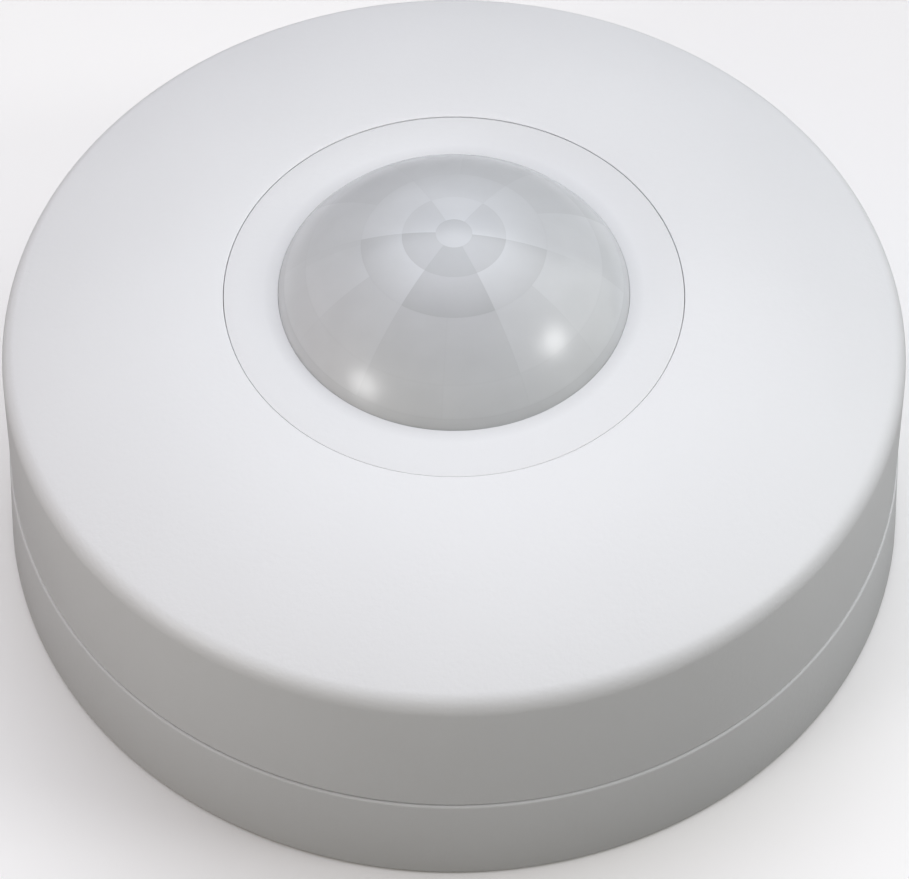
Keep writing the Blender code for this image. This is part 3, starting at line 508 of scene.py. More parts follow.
def facet_tones_and_shade(radius, x, y):
    """How much lighter or darker each facet is than the lens, partly its own grey and partly painted shade
    and light by which way it faces, and a mask of the seams between facets.
    """
    angle = minus(maths("ARCTAN2", y, x), LENS_SPIN)
    tones = seams = inner = 0.0
    for number, ((outer, count), (tint, front, ends, fade, lean)) in enumerate(zip(FACET_RINGS, FACET_TONES_AND_SHADE)):
        outer *= MM
        beyond = maths("GREATER_THAN", radius, inner)
        within = times(beyond, maths("LESS_THAN", radius, outer))
        place = times(angle, count / tau)
        index = maths("FLOOR", place)
        middle = times(plus(index, 0.5), tau / count)
        from_front = plus(middle, pi / 2)
        seed = plus(maths("WRAP", index, float(count)), 7.3 * number)
        scatter = node("TexWhiteNoise", {"W": seed}, noise_dimensions="1D")
        along = ranged(radius, 0, 1, inner, outer)
        # Painted shade and light: the front, ends, fade and lean terms darken a facet by where it faces; the
        # scatter is its own random grey
        turn = plus(times(along, -lean), -front)
        tone = times(maths("COSINE", from_front), turn)
        twice = maths("COSINE", times(from_front, 2.0))
        tone = minus(tone, times(twice, ends))
        tone = plus(tone, ranged(scatter.outputs["Value"], -0.012, 0.012, 0, 1))
        tone = minus(tone, times(along, fade))
        tones = plus(tones, times(within, plus(tone, tint)))
        edge = maths("ABSOLUTE", minus(radius, outer))
        seams = plus(seams, ranged(edge, 1, 0, 0.04 * MM, 0.14 * MM))
        if count > 1:
            off = maths("ABSOLUTE", minus(place, maths("ROUND", place)))
            across = times(off, times(radius, tau / count))
            spoke = ranged(across, 1, 0, 0.03 * MM, 0.12 * MM)
            seams = plus(seams, times(within, spoke))
        inner = outer
    return tones, maths("MINIMUM", seams, 1.0)


def lens_film(name):
    """Milky polythene: the facets moulded inside show through as faintly different greys, with painted shade
    and light over them and painted light lifting the foot.
    """
    material, shader, coords = surface(name)
    radius, x, y = plan_place(coords)
    tones, seams = facet_tones_and_shade(radius, x, y)
    # Painted light: lighter towards the foot, standing in for light scattered through the plastic
    foot = ranged(radius, 0, 0.06, 16 * MM, 21 * MM)
    cloud = ranged(noise(coords, 180, 3.0), -0.015, 0.015)
    level = plus(plus(plus(tones, foot), cloud), LENS_LEVEL)
    level = minus(level, times(seams, 0.012))
    hue = blended(ranged(radius, 1, 0, 3 * MM, 12 * MM), LENS_EDGE_HUE, LENS_MIDDLE_HUE)
    looks = {
        "Base Color": scaled(hue, level),
        "Roughness": 0.25,
        "Specular IOR Level": 0.85,
        "Subsurface Weight": 0.7,
        "Subsurface Radius": (1.0, 1.0, 1.0),
        "Subsurface Scale": 2.0 * MM,
    }
    feed(shader, looks)
    bumped(shader, noise(coords, 700, 2.0), 0.012 * MM)
    return material


HOUSING = (0.80, 0.815, 0.835)
SHADE_WIDTH = 1.8
LENS_LEVEL = 0.62
LENS_MIDDLE_HUE, LENS_EDGE_HUE = (0.955, 0.995, 1.045), (0.962, 0.995, 1.028)
# For each ring of facets, from the middle out: how much lighter it is, how much darker in front, how much
# darker at front and back, how much darker towards its outer edge, and how much more so in front. These are
# partly the facets' own greys and partly painted shade and light, set by where each facet faces the lamps
FACET_TONES_AND_SHADE = [
    (-0.02, 0.0, 0.0, 0.02, 0.0),
    (-0.02, 0.13, 0.0, 0.0, 0.0),
    (0.035, 0.08, 0.04, 0.06, 0.0),
    (-0.01, 0.043, 0.039, -0.037, -0.07),
    (0.005, -0.06, 0.039, 0.0, 0.0),
]

WHITE = plastic("white_abs", HOUSING, 0.4, 1500, 0.034, 0.012)
# The base's copy of the housing plastic is painted 10% darker as shade on the low band by the floor
BASE_SHADED_WHITE = plastic("white_abs_base_shaded", tuple(0.9 * c for c in HOUSING), 0.46, 1500, 0.034, 0.012)
# The ring's copy of the housing plastic is painted 3.5% darker as shade, and carries a painted shadow next to
# the lens
RING_SHADED_WHITE = plastic("white_abs_ring_shaded", tuple(0.965 * c for c in HOUSING), 0.4, 1500, 0.034, 0.012, shade=0.12)
INNER_WHITE = plastic("white_abs_carrier", (0.8, 0.81, 0.82), 0.5, 1300, 0.01, 0.02)
LENS = lens_film("lens_film")
BLACK = plastic("black_plastic", (0.025, 0.025, 0.028), 0.42, 1800, 0.015, 0.15)
SLEEVE = plastic("capacitor_sleeve", (0.02, 0.025, 0.05), 0.3, 900, 0.01, 0.2, 0.4)
GREY = plastic("grey_plastic", (0.52, 0.53, 0.54), 0.45, 1500, 0.012, 0.03)
RUBBER = rubbery("rubber", (0.035, 0.035, 0.037))
BOARD = circuit("board_green", (0.012, 0.16, 0.06), (0.03, 0.27, 0.1), (0.02, 0.2, 0.08))
STEEL = metal("steel", (0.66, 0.66, 0.68), 0.28)
BRASS = metal("brass", (0.80, 0.60, 0.26), 0.3)
TIN = metal("tin", (0.78, 0.78, 0.79), 0.32, (6, 6, 1))
CAN = metal("sensor_can", (0.74, 0.73, 0.71), 0.22, (1, 1, 4))
COPPER = wound("copper", (0.72, 0.32, 0.13))
BLUE = plastic("blue_plastic", (0.03, 0.16, 0.45), 0.38, 1500, 0.012, 0.05)
YELLOW = plastic("yellow_epoxy", (0.72, 0.47, 0.05), 0.35, 500, 0.02, 0.06, 0.3)
RED = plastic("red_led", (0.62, 0.03, 0.025), 0.14, 300, 0.002, 0.05, 0.6)
CELL = plastic("cell", (0.55, 0.24, 0.1), 0.2, 400, 0.004, 0.1, 0.6)
GLASS = plastic("dark_glass", (0.03, 0.025, 0.045), 0.1, 200, 0.001, 0.2, 0.8)
SOLDER = metal("solder", (0.72, 0.72, 0.72), 0.24, (1, 1, 1), 300)
BROWN_WIRE = plastic("brown_wire", (0.20, 0.085, 0.035), 0.36, 700, 0.01, 0.06, 0.2)
BLUE_WIRE = plastic("blue_wire", (0.03, 0.12, 0.42), 0.36, 700, 0.01, 0.06, 0.2)
BLACK_WIRE = plastic("black_wire", (0.016, 0.016, 0.018), 0.36, 700, 0.01, 0.1, 0.2)
WIRE_FINISHES = {"live": BROWN_WIRE, "neutral": BLUE_WIRE, "load": BLACK_WIRE}


# ---------------------------------------------------------------- housing


def crown_height(radius):
    end_radius = SHOULDER_RADIUS - SHOULDER_ROUND * (1 - sin(SHOULDER_TILT))
    end_height = SHOULDER_HEIGHT + SHOULDER_ROUND * cos(SHOULDER_TILT)
    run = end_radius - CROWN_FLAT
    bend = tan(SHOULDER_TILT) / (2 * run)
    return end_height + bend * (run**2 - max(0.0, radius - CROWN_FLAT) ** 2)


def base_plate():
    """The base's floor and wall, with the seam step, the lip and the cable hole."""
    corners = [
        (RIM_INNER, 0, 0.2), (BASE_RADIUS, 0, 0.4), (SEAM_RADIUS, SEAM_HEIGHT, 0.35),
        (LIP_OUTER, SEAM_HEIGHT), (LIP_OUTER, LIP_TOP, 0.2), (LIP_INNER, LIP_TOP, 0.2),
        (LIP_INNER, FLOOR_TOP, 0.8), (CABLE_HOLE, FLOOR_TOP, 0.2),
        (CABLE_HOLE, FLOOR_BOTTOM, 0.2), (RIM_INNER, FLOOR_BOTTOM, 0.3),
    ]
    return spun(corners, SIDES)


def join_screw_boss(shell, angle):
    """A gusseted boss for one of the cover's screws."""
    at = polar(LOCK_CIRCLE, angle)
    foot = FLOOR_TOP - BITE
    boss = spun(section(0, BOSS_RADIUS, foot, BOSS_TOP, (0, 0, 0.3, 0)), SMALL)
    join(shell, placed(boss, at))
    cut(shell, rod(1.75, FLOOR_TOP + BITE, BOSS_TOP + BITE, at))
    side = [(0, foot), (6.2, foot), (3.3, 12), (0, 12)]
    for k in range(4):
        gusset = turned(extruded(side, -0.5, 0.5), pi / 2, "X")
        placed(gusset, at, angle + radians(45) + pi / 2 * k)
        join(shell, cut(gusset, rod(2.6, 0, 20, at)))


def base_moulding():
    shell = base_plate()
    low, high = 0.5, FLOOR_BOTTOM + BITE
    join(shell, spun(section(*CABLE_COLLAR, low, high, (0.2, 0.2, 0, 0))))
    for i in range(12):
        rib = box_between((10.2, -0.6, low), (RIM_INNER + BITE, 0.6, high), 0.15)
        join(shell, turned(rib, tau * (i + 0.5) / 12))
    for side in (-1, 1):
        slot = (side * FIXING_SLOT_X, 0)
        join(shell, stadium(5, FIXING_SLOT_TRAVEL, 0, FLOOR_TOP + 0.8, slot))
        cut(shell, stadium(2.25, FIXING_SLOT_TRAVEL, -BITE, FLOOR_TOP + 2 * BITE, slot))
        ear = (side * EAR_X, TERMINAL_Y)
        join(shell, rod(3.2, low, high, ear))
        cut(shell, rod(1.35, 1.2, FLOOR_TOP + BITE, ear))
    for angle in LOCKS:
        join_screw_boss(shell, angle)
    return piece(shell, "base_moulding", "base", BASE_SHADED_WHITE, "base_shell")


def cover_roof():
    """The cover's wall, shoulder, crown and well, as one turned shape."""
    arc = []
    for i in range(15):
        x, z = polar(SHOULDER_ROUND, (pi / 2 - SHOULDER_TILT) * i / 14)
        arc.append((SHOULDER_RADIUS - SHOULDER_ROUND + x, SHOULDER_HEIGHT + z))
    end = arc[-1][0]
    crown = [end + (WELL_RADIUS - end) * i / 24 for i in range(1, 24)]
    ceiling = [WELL_OUTER + (end - 2 * ROOF - WELL_OUTER) * i / 12 for i in range(13)]
    corners = [(COVER_FOOT_RADIUS, COVER_FOOT, 0.12)]
    corners += arc
    corners += [(r, crown_height(r)) for r in crown]
    corners += [
        (WELL_RADIUS, crown_height(WELL_RADIUS), 0.07), (WELL_RADIUS, WELL_FLOOR, 0.5),
        (EYE_RADIUS, WELL_FLOOR, 0.3), (EYE_RADIUS, WELL_BOTTOM, 0.2),
        (WELL_OUTER, WELL_BOTTOM, 0.6),
    ]
    corners += [(r, crown_height(r) - ROOF) for r in ceiling]
    corners += [
        (SHOULDER_RADIUS - WALL, SHOULDER_HEIGHT),
        (COVER_FOOT_RADIUS - WALL, LIP_TOP + LIP_GAP, 0.3),
        (LIP_OUTER + LIP_GAP, LIP_TOP + LIP_GAP), (LIP_OUTER + LIP_GAP, COVER_FOOT, 0.12),
    ]
    return spun(corners, SIDES)


def join_supports(shell):
    """Screw tunnels, the posts that carry the power board and the stakes that hold the sensor board."""
    for angle in LOCKS:
        at = polar(LOCK_CIRCLE, angle)
        join(shell, rod(4.3, 15.9, WELL_FLOOR - 0.4, at))
        cut(shell, rod(1.9, 15, 34, at), rod(3.3, 29.9, 34, at))
    for angle in POSTS:
        at = polar(POST_CIRCLE, angle)
        top = crown_height(POST_CIRCLE + 3.2) - ROOF / 2
        join(shell, rod(3.2, 19.5, top, at))
        cut(shell, rod(1.35, 19, 27, at))
    head = [(0, 23.9), (1.7, 23.9, 0.5), (1.7, 25.1, 0.1), (1.0, 25.1)]
    shank = [(1.0, 27.3), (2.2, 27.3), (2.2, 31.4), (0, 31.4)]
    for x, y in STAKES:
        join(shell, placed(spun(head + shank, 32), (x, y)))


def cover_moulding():
    shell = cover_roof()
    join_supports(shell)
    hook = [(23.4, 32.6), (24.8, 32.6), (24.8, 36.2, 0.2)]
    hook += [(26.1, 36.2, 0.15), (26.1, 37.4, 0.35), (23.4, 37.4, 0.35)]
    for angle in HOOKS:
        join(shell, swept(fillet(hook), angle, radians(10)))
    low, high = 30, 34
    for angle in KNOBS.values():
        cut(shell, rod(3.5, low, high, polar(KNOB_CIRCLE, angle)))
    cut(shell, rod(2.6, low, high, (-WINDOW_X, WINDOW_Y)))
    cut(shell, rod(1.9, low, high, (WINDOW_X, WINDOW_Y)))
    for angle in LEGS:
        cut(shell, turned(plan_box(2.4, 5.3, low, high, (LEG_CIRCLE, 0)), angle))
    return piece(shell, "cover_moulding", "cover", WHITE, "cover_shell")


def adjuster_marks():
    """Raised scale ticks round each knob, longer at the ends and in the middle."""
    marks = []
    low, high, thick = WELL_FLOOR - 0.05, WELL_FLOOR + 0.18, 0.3
    for angle in KNOBS.values():
        centre = polar(KNOB_CIRCLE, angle)
        for k in range(7):
            long = 1.0 if k % 3 == 0 else 0.6
            tick = plan_box(long, thick, low, high, (3.9 + long / 2, 0), 0.05)
            marks.append(placed(tick, centre, angle + radians(45 * k - 135)))
    return piece(gathered(marks), "adjuster_marks", "cover", WHITE)


# ---------------------------------------------------------------- lens and ring


def dome_profile(inset, foot, steps):
    wide, tall = DOME_WIDE - inset, DOME_TALL - inset
    start = asin((foot - DOME_CENTRE) / tall)
    angles = [start + (pi / 2 - start) * i / steps for i in range(steps)]
    points = [(wide * cos(a), DOME_CENTRE + tall * sin(a)) for a in angles]
    return points + [(0, DOME_CENTRE + tall)]


def facet_relief(r, z, angle):
    """Fresnel grooves moulded into the inside of the dome, each facet about its own centre."""
    outwards = (r / DOME_WIDE) ** 2 + ((z - DOME_CENTRE) / DOME_TALL) ** 2
    if r > GROOVES_END or outwards > 0.965:
        return r, z
    inner = 0.0
    for outer, count in FACET_RINGS:
        if r <= outer:
            break
        inner = outer
    centre = Vector((0, 0))
    if count > 1:
        step = tau / count
        along = (floor((angle - LENS_SPIN) / step) + 0.5) * step + LENS_SPIN
        centre = Vector(polar((inner + outer) / 2, along))
    away = (Vector(polar(r, angle)) - centre).length
    depth = GROOVE_DEPTH * (away / GROOVE_PITCH % 1.0)
    normal = Vector((r / DOME_WIDE**2, (z - DOME_CENTRE) / DOME_TALL**2)).normalized()
    return r + normal.x * depth, z + normal.y * depth


def lens_moulding():
    flange_bottom, flange_top, flange = 40.4, 41.0, 25.6
    neck = RING_INNER - 0.03
    outside = dome_profile(0, DOME_FOOT, 40)
    inside = dome_profile(1.3, flange_bottom, 64)
    corners = [
        (flange, flange_bottom, 0.15), (flange, flange_top, 0.15), (neck, flange_top, 0.25),
        (neck, DOME_FOOT - 0.03),
    ]
    outline = fillet(corners) + outside + inside[::-1]
    shell = lathe(outline, SIDES, facet_relief, 40)
    return piece(shell, "lens_moulding", "lens", LENS, "lens_dome")


def carrier_moulding():
    ring = spun(section(20.6, 26.2, 38.8, 40.1, [0.2] * 4), SIDES)
    for angle in LEGS:
        leg = plan_box(1.6, 4.5, 31.4, 39.2, (LEG_CIRCLE, 0), 0.25)
        join(ring, turned(leg, angle))
    return piece(ring, "carrier_moulding", "lens", INNER_WHITE, "lens_carrier")


def closer_in_front(r, z, angle):
    """The ring's outer wall is a hair out of true, so its seam is finest in front."""
    if r > WELL_RADIUS - 0.5:
        r -= 0.07 * sin(angle)
    return r, z


def ring_moulding():
    inside = RING_OUTER - RING_WALL
    edge = WELL_RADIUS - 0.08
    corners = [
        (RING_INNER, RING_UNDERSIDE, 0.1), (RING_INNER, crown_height(RING_INNER), 0.03),
        (CROWN_FLAT, crown_height(CROWN_FLAT)), (26, crown_height(26)),
        (edge, crown_height(edge), 0.07), (edge, RING_BOTTOM, 0.2), (inside, RING_BOTTOM, 0.2),
        (inside, 37.8), (inside - 0.5, 38.15, 0.15), (inside, 38.5),
        (inside, RING_UNDERSIDE, 0.3),
    ]
    shell = spun(corners, SIDES, closer_in_front)
    lug = section(25.2, inside + RING_WALL / 2, RING_BOTTOM - 0.2, 35.8, (0.2, 0.1, 0.1, 0.2))
    for angle in LUGS:
        join(shell, swept(fillet(lug), angle, radians(8)))
    for k in range(24):  # finger grips inside the skirt
        at = polar(inside + 0.1, tau * k / 24 + 0.05)
        join(shell, rod(0.4, 38.9, RING_UNDERSIDE + 0.2, at, 16))
    return piece(shell, "ring_moulding", "ring", RING_SHADED_WHITE, "lens_ring")


# ---------------------------------------------------------------- fasteners and fittings


def thread(shank, pitch, depth, rows, length, head_radius, head_height):
    """A cross-head screw pointing down, head underside at z = 0, with a real helical thread."""
    taper = 2.4 * shank
    corners = [(0, -length)]
    for i in range(1, rows + 1):
        z = -length + length * i / rows
        corners.append((shank * min(1.0, 0.15 + (z + length) / taper), z))
    head = [
        (shank * 1.02, 0), (head_radius, 0, 0.12), (head_radius, 0.55 * head_height, 0.1),
        (0.72 * head_radius, head_height, 0.25), (0, head_height),
    ]
    corners += fillet(head)[1:]

    def relief(r, z, angle):
        if z > -0.8 or z < -length + 0.3:
            return r, z
        phase = ((z - pitch * angle / tau) / pitch) % 1.0
        ridge = abs(2 * phase - 1)
        return r - depth * (1 - ridge) * min(1, r / shank), z

    reach, wide = 0.58 * head_radius, 0.17 * head_radius
    cross = []
    for x, y in ((1, 1), (-1, 1), (-1, -1), (1, -1)):
        arm = [(x * reach, y * wide), (x * wide, y * wide), (x * wide, y * reach)]
        cross += arm if x == y else arm[::-1]
    screw = lathe(corners, 40, relief, 40)
    return cut(screw, extruded(cross, head_height * 0.4, head_height * 2))


def fit_screw(cad, body, shank, pitch, depth, rows, head, flip=False):
    """Puts a detailed screw where a CAD screw is, head up, or down if flip."""
    low, high = box(cad)
    length = high.z - low.z - head
    screw = thread(shank, pitch, depth, rows, length, (high.x - low.x) / 2, head)
    if flip:
        turned(screw, pi, "X")
    placed(screw, (*centre_of(low, high), low.z + head if flip else high.z - head))
    return piece(screw, f"{cad}_threaded", body, STEEL, cad)


def fasteners():
    for side in ("left", "right"):
        fit_screw(f"cover_screw_{side}", f"cover_screw_{side}", 1.45, 1.2, 0.3, 133, 2.0)
        cad = f"cover_screw_seal_{side}"
        low, high = box(cad)
        seal = spun(section(1.7, (high.x - low.x) / 2, low.z, high.z, (0.2, 0.3, 0.3, 0.2)), SMALL)
        placed(seal, centre_of(low, high))
        piece(seal, f"{cad}_ring", cad, RUBBER, cad)
    for n in (1, 2, 3):
        fit_screw(f"board_screw_{n}", "cover", 1.05, 0.9, 0.22, 71, 1.1, flip=True)
    for n in (1, 2):
        fit_screw(f"terminal_block_screw_{n}", "base", 1.05, 0.9, 0.22, 51, 1.6)
    for way in WAYS:
        fit_screw(f"terminal_screw_{way}", f"terminal_screw_{way}", 1.3, 0.5, 0.16, 64, 0.8)


def grommet():
    low, high = box("cable_grommet")
    bore, flange, neck = 4.2, high.x, 6.9
    groove_bottom, groove_top = 1.9, 4.7
    corners = [
        (bore, low.z, 0.3), (flange, low.z, 0.35), (flange, groove_bottom, 0.2),
        (neck, groove_bottom, 0.1), (neck, groove_top, 0.1), (flange, groove_top, 0.2),
        (flange, 5.6, 0.3), (bore + 2.0, 6.1, 0.6), (bore + 1.2, high.z, 0.3),
        (bore, high.z, 0.2),
    ]
    piece(spun(corners), "cable_grommet_moulding", "base", RUBBER, "cable_grommet")


def wire_bore(x, y, z, depth):
    """A round hole for a wire, along Y."""
    return placed(rod(1.4, 0, depth, sides=32), (x, y, z), -pi / 2, "X")


def terminal_block():
    """A body with rounded edges, square cage openings, wire and screw holes, and slits between the ways."""
    low, high = box("terminal_block")
    y, z = TERMINAL_Y, low.z
    housing = box_between((-16.5, y - 7.5, z), (16.5, y + 7.5, high.z), 0.4)
    for side in (-1, 1):
        x = side * 20.05
        join(housing, box_between((x - 4, y - 4, z), (x + 4, y + 4, z + 3), 0.3))
        cut(housing, rod(1.7, z - 1, z + 4, (side * EAR_X, y)))
    for x in WAYS.values():
        screw = (x, y + 1)
        cut(
            housing,
            box_between((x - 3.5, y - 3.5, z + 0.9), (x + 3.5, y + 9, z + 8.6)),
            rod(1.7, z + 8, z + 10, screw),
            rod(2.4, z + 9.2, z + 12, screw),
            box_between((x - 1.9, y - 5.9, z + 3.9), (x + 1.9, y - 3, z + 5.5)),
            wire_bore(x, y - 8.5, z + TERMINAL_WIRE, 2.5),
        )
    for x in (-5.25, 5.25):
        cut(housing, plan_box(0.5, 16, high.z - 0.5, high.z + 1, (x, y)))
    piece(housing, "terminal_block_moulding", "base", GREY, "terminal_block")


def socket_block():
    low, high = box("socket_block")
    socket = box_between(low, high, 0.4)
    for x in SOCKET_WAYS.values():
        cut(
            socket,
            plan_box(3.8, 1.6, low.z + 1.2, high.z + 1, (x, SOCKET_Y)),
            plan_box(4.8, 2.6, high.z - 0.5, high.z + 1, (x, SOCKET_Y)),
            wire_bore(x, high.y - 3, low.z + SOCKET_WIRE, 4),
        )
    piece(socket, "socket_block_moulding", "base", BLACK, "socket_block")


def eased(start, end, steps=12):
    """Points from start to end that leave and arrive along Y."""
    reach = Vector((0, 0.4 * (end[1] - start[1]), 0))
    p = [Vector(start), Vector(start) + reach, Vector(end) - reach, Vector(end)]
    points = []
    for t in [i / steps for i in range(steps)]:
        first = p[0] * (1 - t) ** 3 + 3 * p[1] * t * (1 - t) ** 2
        points.append(first + 3 * p[2] * t**2 * (1 - t) + p[3] * t**3)
    return points


def wires():
    """Each wire drops from its terminal to the floor, runs past the cable hole and rises to the socket."""
    waist = {"live": -13.0, "neutral": -10.3, "load": 10.6}
    top, bottom, rest = BLOCKS_FOOT + TERMINAL_WIRE, BLOCKS_FOOT + SOCKET_WIRE, 5.8
    for way, x in WAYS.items():
        low, high = box(f"wire_{way}")
        end_x = SOCKET_WAYS[way]
        path = [(x, high.y, top), (x, high.y - 2, top)]
        path += [(waist[way], 7, rest), (waist[way], -7, rest)]
        path += [(end_x, low.y + 3, bottom), (end_x, low.y, bottom)]
        curve = [knot for start, end in zip(path, path[1:]) for knot in eased(start, end)]
        wire = tube(curve + [Vector(path[-1])], 1.1, 24, 2)
        piece(wire, f"wire_{way}_insulated", "base", WIRE_FINISHES[way], f"wire_{way}")


# ---------------------------------------------------------------- electronics


def capacitor(cad):
    """An electrolytic capacitor: crimped can in a shrink sleeve with a scored vent."""
    low, high = box(cad)
    radius, tall = (high.x - low.x) / 2, high.z - low.z
    corners = [
        (0, 0), (radius * 0.93, 0, 0.3), (radius * 0.93, 1.0, 0.2), (radius * 0.86, 1.6, 0.3),
        (radius, 2.3, 0.3), (radius, tall, 0.5), (radius * 0.82, tall - 0.02, 0.05),
        (radius * 0.80, tall - 0.25, 0.05), (0, tall - 0.25),
    ]
    can = spun(corners)
    for k in range(2):
        cut(can, turned(plan_box(1.3 * radius, 0.25, tall - 0.45, tall + 1), pi / 2 * k))
    placed(can, (*centre_of(low, high), low.z))
    piece(can, f"{cad}_can", "cover", SLEEVE, cad)


def rounded_box(cad, name, finish, rounding):
    piece(box_between(*box(cad), rounding), name, "cover", finish, cad)


def disc_board(cad, holes, slots):
    """A circuit board with a rounded edge, its round holes and its slots for the plug's blades."""
    low, high = box(cad)
    bottom, top = low.z - 1, high.z + 1
    board = spun(section(0, high.x, low.z, high.z, (0, 0.15, 0.15, 0)), SIDES)
    for at, size in holes:
        cut(board, rod(size, bottom, top, at))
    for x in slots:
        cut(board, plan_box(3.6, 1.4, bottom, top, (x, SOCKET_Y)))
    piece(board, f"{cad}_etched", "cover", BOARD, cad)


def solder_joint(at, z, size=1.0):
    """A wetted cone round a cut lead, hanging under a board."""
    r = size
    corners = [(0, -0.95 * r), (0.22 * r, -0.95 * r, 0.1 * r), (0.34 * r, -0.5 * r), (0.6 * r, -0.18 * r)]
    corners += [(0.95 * r, -0.02), (0.95 * r, 0), (0, 0)]
    return placed(spun(corners, 20), (*at, z))


def power_board_solder():
    """The leads under each power part, by their places about its middle."""
    leads = {
        "smoothing_capacitor": [(2.5, 0), (-2.5, 0)],
        "filter_capacitor": [(1.8, 0), (-1.8, 0)],
        "film_capacitor": [(0, 7.5), (0, -7.5)],
        "varistor": [(1.2, 2.9), (-1.2, -2.9)],
        "fuse": [(2.5, 0), (-2.5, 0)],
        "bridge_rectifier": [(3.8, 2.5), (3.8, -2.5), (-3.8, 2.5), (-3.8, -2.5)],
        "dropper_resistor": [(6.8, 0), (-6.8, 0)],
        "board_header": [(2.5 * i - 5, 0) for i in range(5)],
        "relay_case": [(-8, 5.5), (8, 5.5), (-8, -5.5), (8, -5.5), (0, -6.2)],
    }
    under = box("power_board")[0].z
    joints = []
    for cad, spots in leads.items():
        x, y = centre_of(*box(cad))
        size = 1.25 if cad == "relay_case" else 1.0
        joints += [solder_joint((x + dx, y + dy), under, size) for dx, dy in spots]
    piece(gathered(joints), "power_board_solder", "cover", SOLDER)


def sensor_board_solder():
    under = box("sensor_board")[0].z
    joints = [solder_joint((2.5 * i - 8, 11.5), under, 0.8) for i in range(5)]
    for angle in KNOBS.values():
        x, y = polar(KNOB_CIRCLE, angle)
        for off in (-2.5, 0, 2.5):
            dx, dy = polar(off, angle + pi / 2)
            joints.append(solder_joint((x + dx, y + dy), under, 0.8))
    piece(gathered(joints), "sensor_board_solder", "cover", SOLDER)


def sensor_board_chips():
    """Small parts in two rings, left out where the header or the light knob's trimmer stands."""
    top = box("sensor_board")[1].z
    taken = [Vector((12.5, -1)), Vector(polar(KNOB_CIRCLE, KNOBS["light"]))]
    clear = [6.2, 6]
    chips = []
    for i in range(14):
        at = polar(8.6 if i % 2 else 14.6, radians(255 + 23 * i))
        if any((Vector(at) - spot).length <= room for spot, room in zip(taken, clear)):
            continue
        chip = plan_box(1.6, 0.8, top + 0.02, top + 0.5, (0, 0), 0.08)
        chips.append(placed(chip, at, pi / 2 * (i % 2)))
    piece(gathered(chips), "sensor_board_chips", "cover", BLACK)


def power_board_tracks():
    """Wide tinned tracks under the power board, cut off by its round edge."""
    under = box("power_board")[0].z
    low, high = under - 0.05, under + 0.02
    tracks = []
    for i in range(16):
        x = 5 * i - 37.5
        span = sqrt(max(0, POST_CIRCLE**2 - x * x))
        start, stop = 14, span - 4
        if stop - start > 4 and abs(x) > 2:
            place = (x, (start + stop) / 2)
            tracks.append(plan_box(1.1, stop - start, low, high, place, 0.02))
    piece(gathered(tracks), "power_board_tracks", "cover", SOLDER)


def boards():
    tunnels = [(polar(LOCK_CIRCLE, angle), 4.7) for angle in LOCKS]
    posts = [(polar(POST_CIRCLE, angle), 1.4) for angle in POSTS]
    disc_board("power_board", tunnels + posts, SOCKET_WAYS.values())
    disc_board("sensor_board", tunnels + [(at, 1.35) for at in STAKES], [])
    power_board_solder()
    sensor_board_solder()
    sensor_board_chips()
    power_board_tracks()


def power_parts():
    capacitor("smoothing_capacitor")
    capacitor("filter_capacitor")
    rounded_box("film_capacitor", "film_capacitor_case", YELLOW, 0.9)
    rounded_box("bridge_rectifier", "bridge_rectifier_case", BLACK, 0.35)
    rounded_box("plug_body", "plug_body_blank", BLACK, 0.35)


def knob(name, angle):
    """A slotted knob with a fluted side and an arrowhead at one end of its slot."""
    low, high = box(f"knob_{name}")
    shaft, underside = 1.6, 31.0
    corners = [
        (0, low.z), (shaft, low.z, 0.2), (shaft, underside, 0.2), (KNOB_RADIUS, underside, 0.3),
        (KNOB_RADIUS, high.z, 0.35), (0, high.z),
    ]

    def flutes(r, z, turn):
        if r > KNOB_RADIUS - 0.1 and underside + 0.2 < z < high.z - 0.3:
            r -= 0.12 * (0.5 + 0.5 * cos(24 * turn))
        return r, z

    outline = fillet(corners)
    foot, brow = underside + 0.3, high.z - 0.5
    rows = [(KNOB_RADIUS, foot + (brow - foot) * i / 8) for i in range(9)]
    start = next(i for i, (r, z) in enumerate(outline) if r > KNOB_RADIUS - 0.01 and z > foot - 0.05)
    cap = lathe(outline[:start] + rows + outline[start:], FINE, flutes)
    cut(cap, turned(plan_box(5.0, 1.0, high.z - 1.1, high.z + 1), angle))
    arrow = [(2.6, 0.0), (1.7, 0.75), (1.7, -0.75)]
    cut(cap, turned(extruded(arrow, high.z - 0.35, high.z + 1), angle))
    placed(cap, polar(KNOB_CIRCLE, angle))
    piece(cap, f"knob_{name}_moulding", f"knob_{name}", GREY, f"knob_{name}")


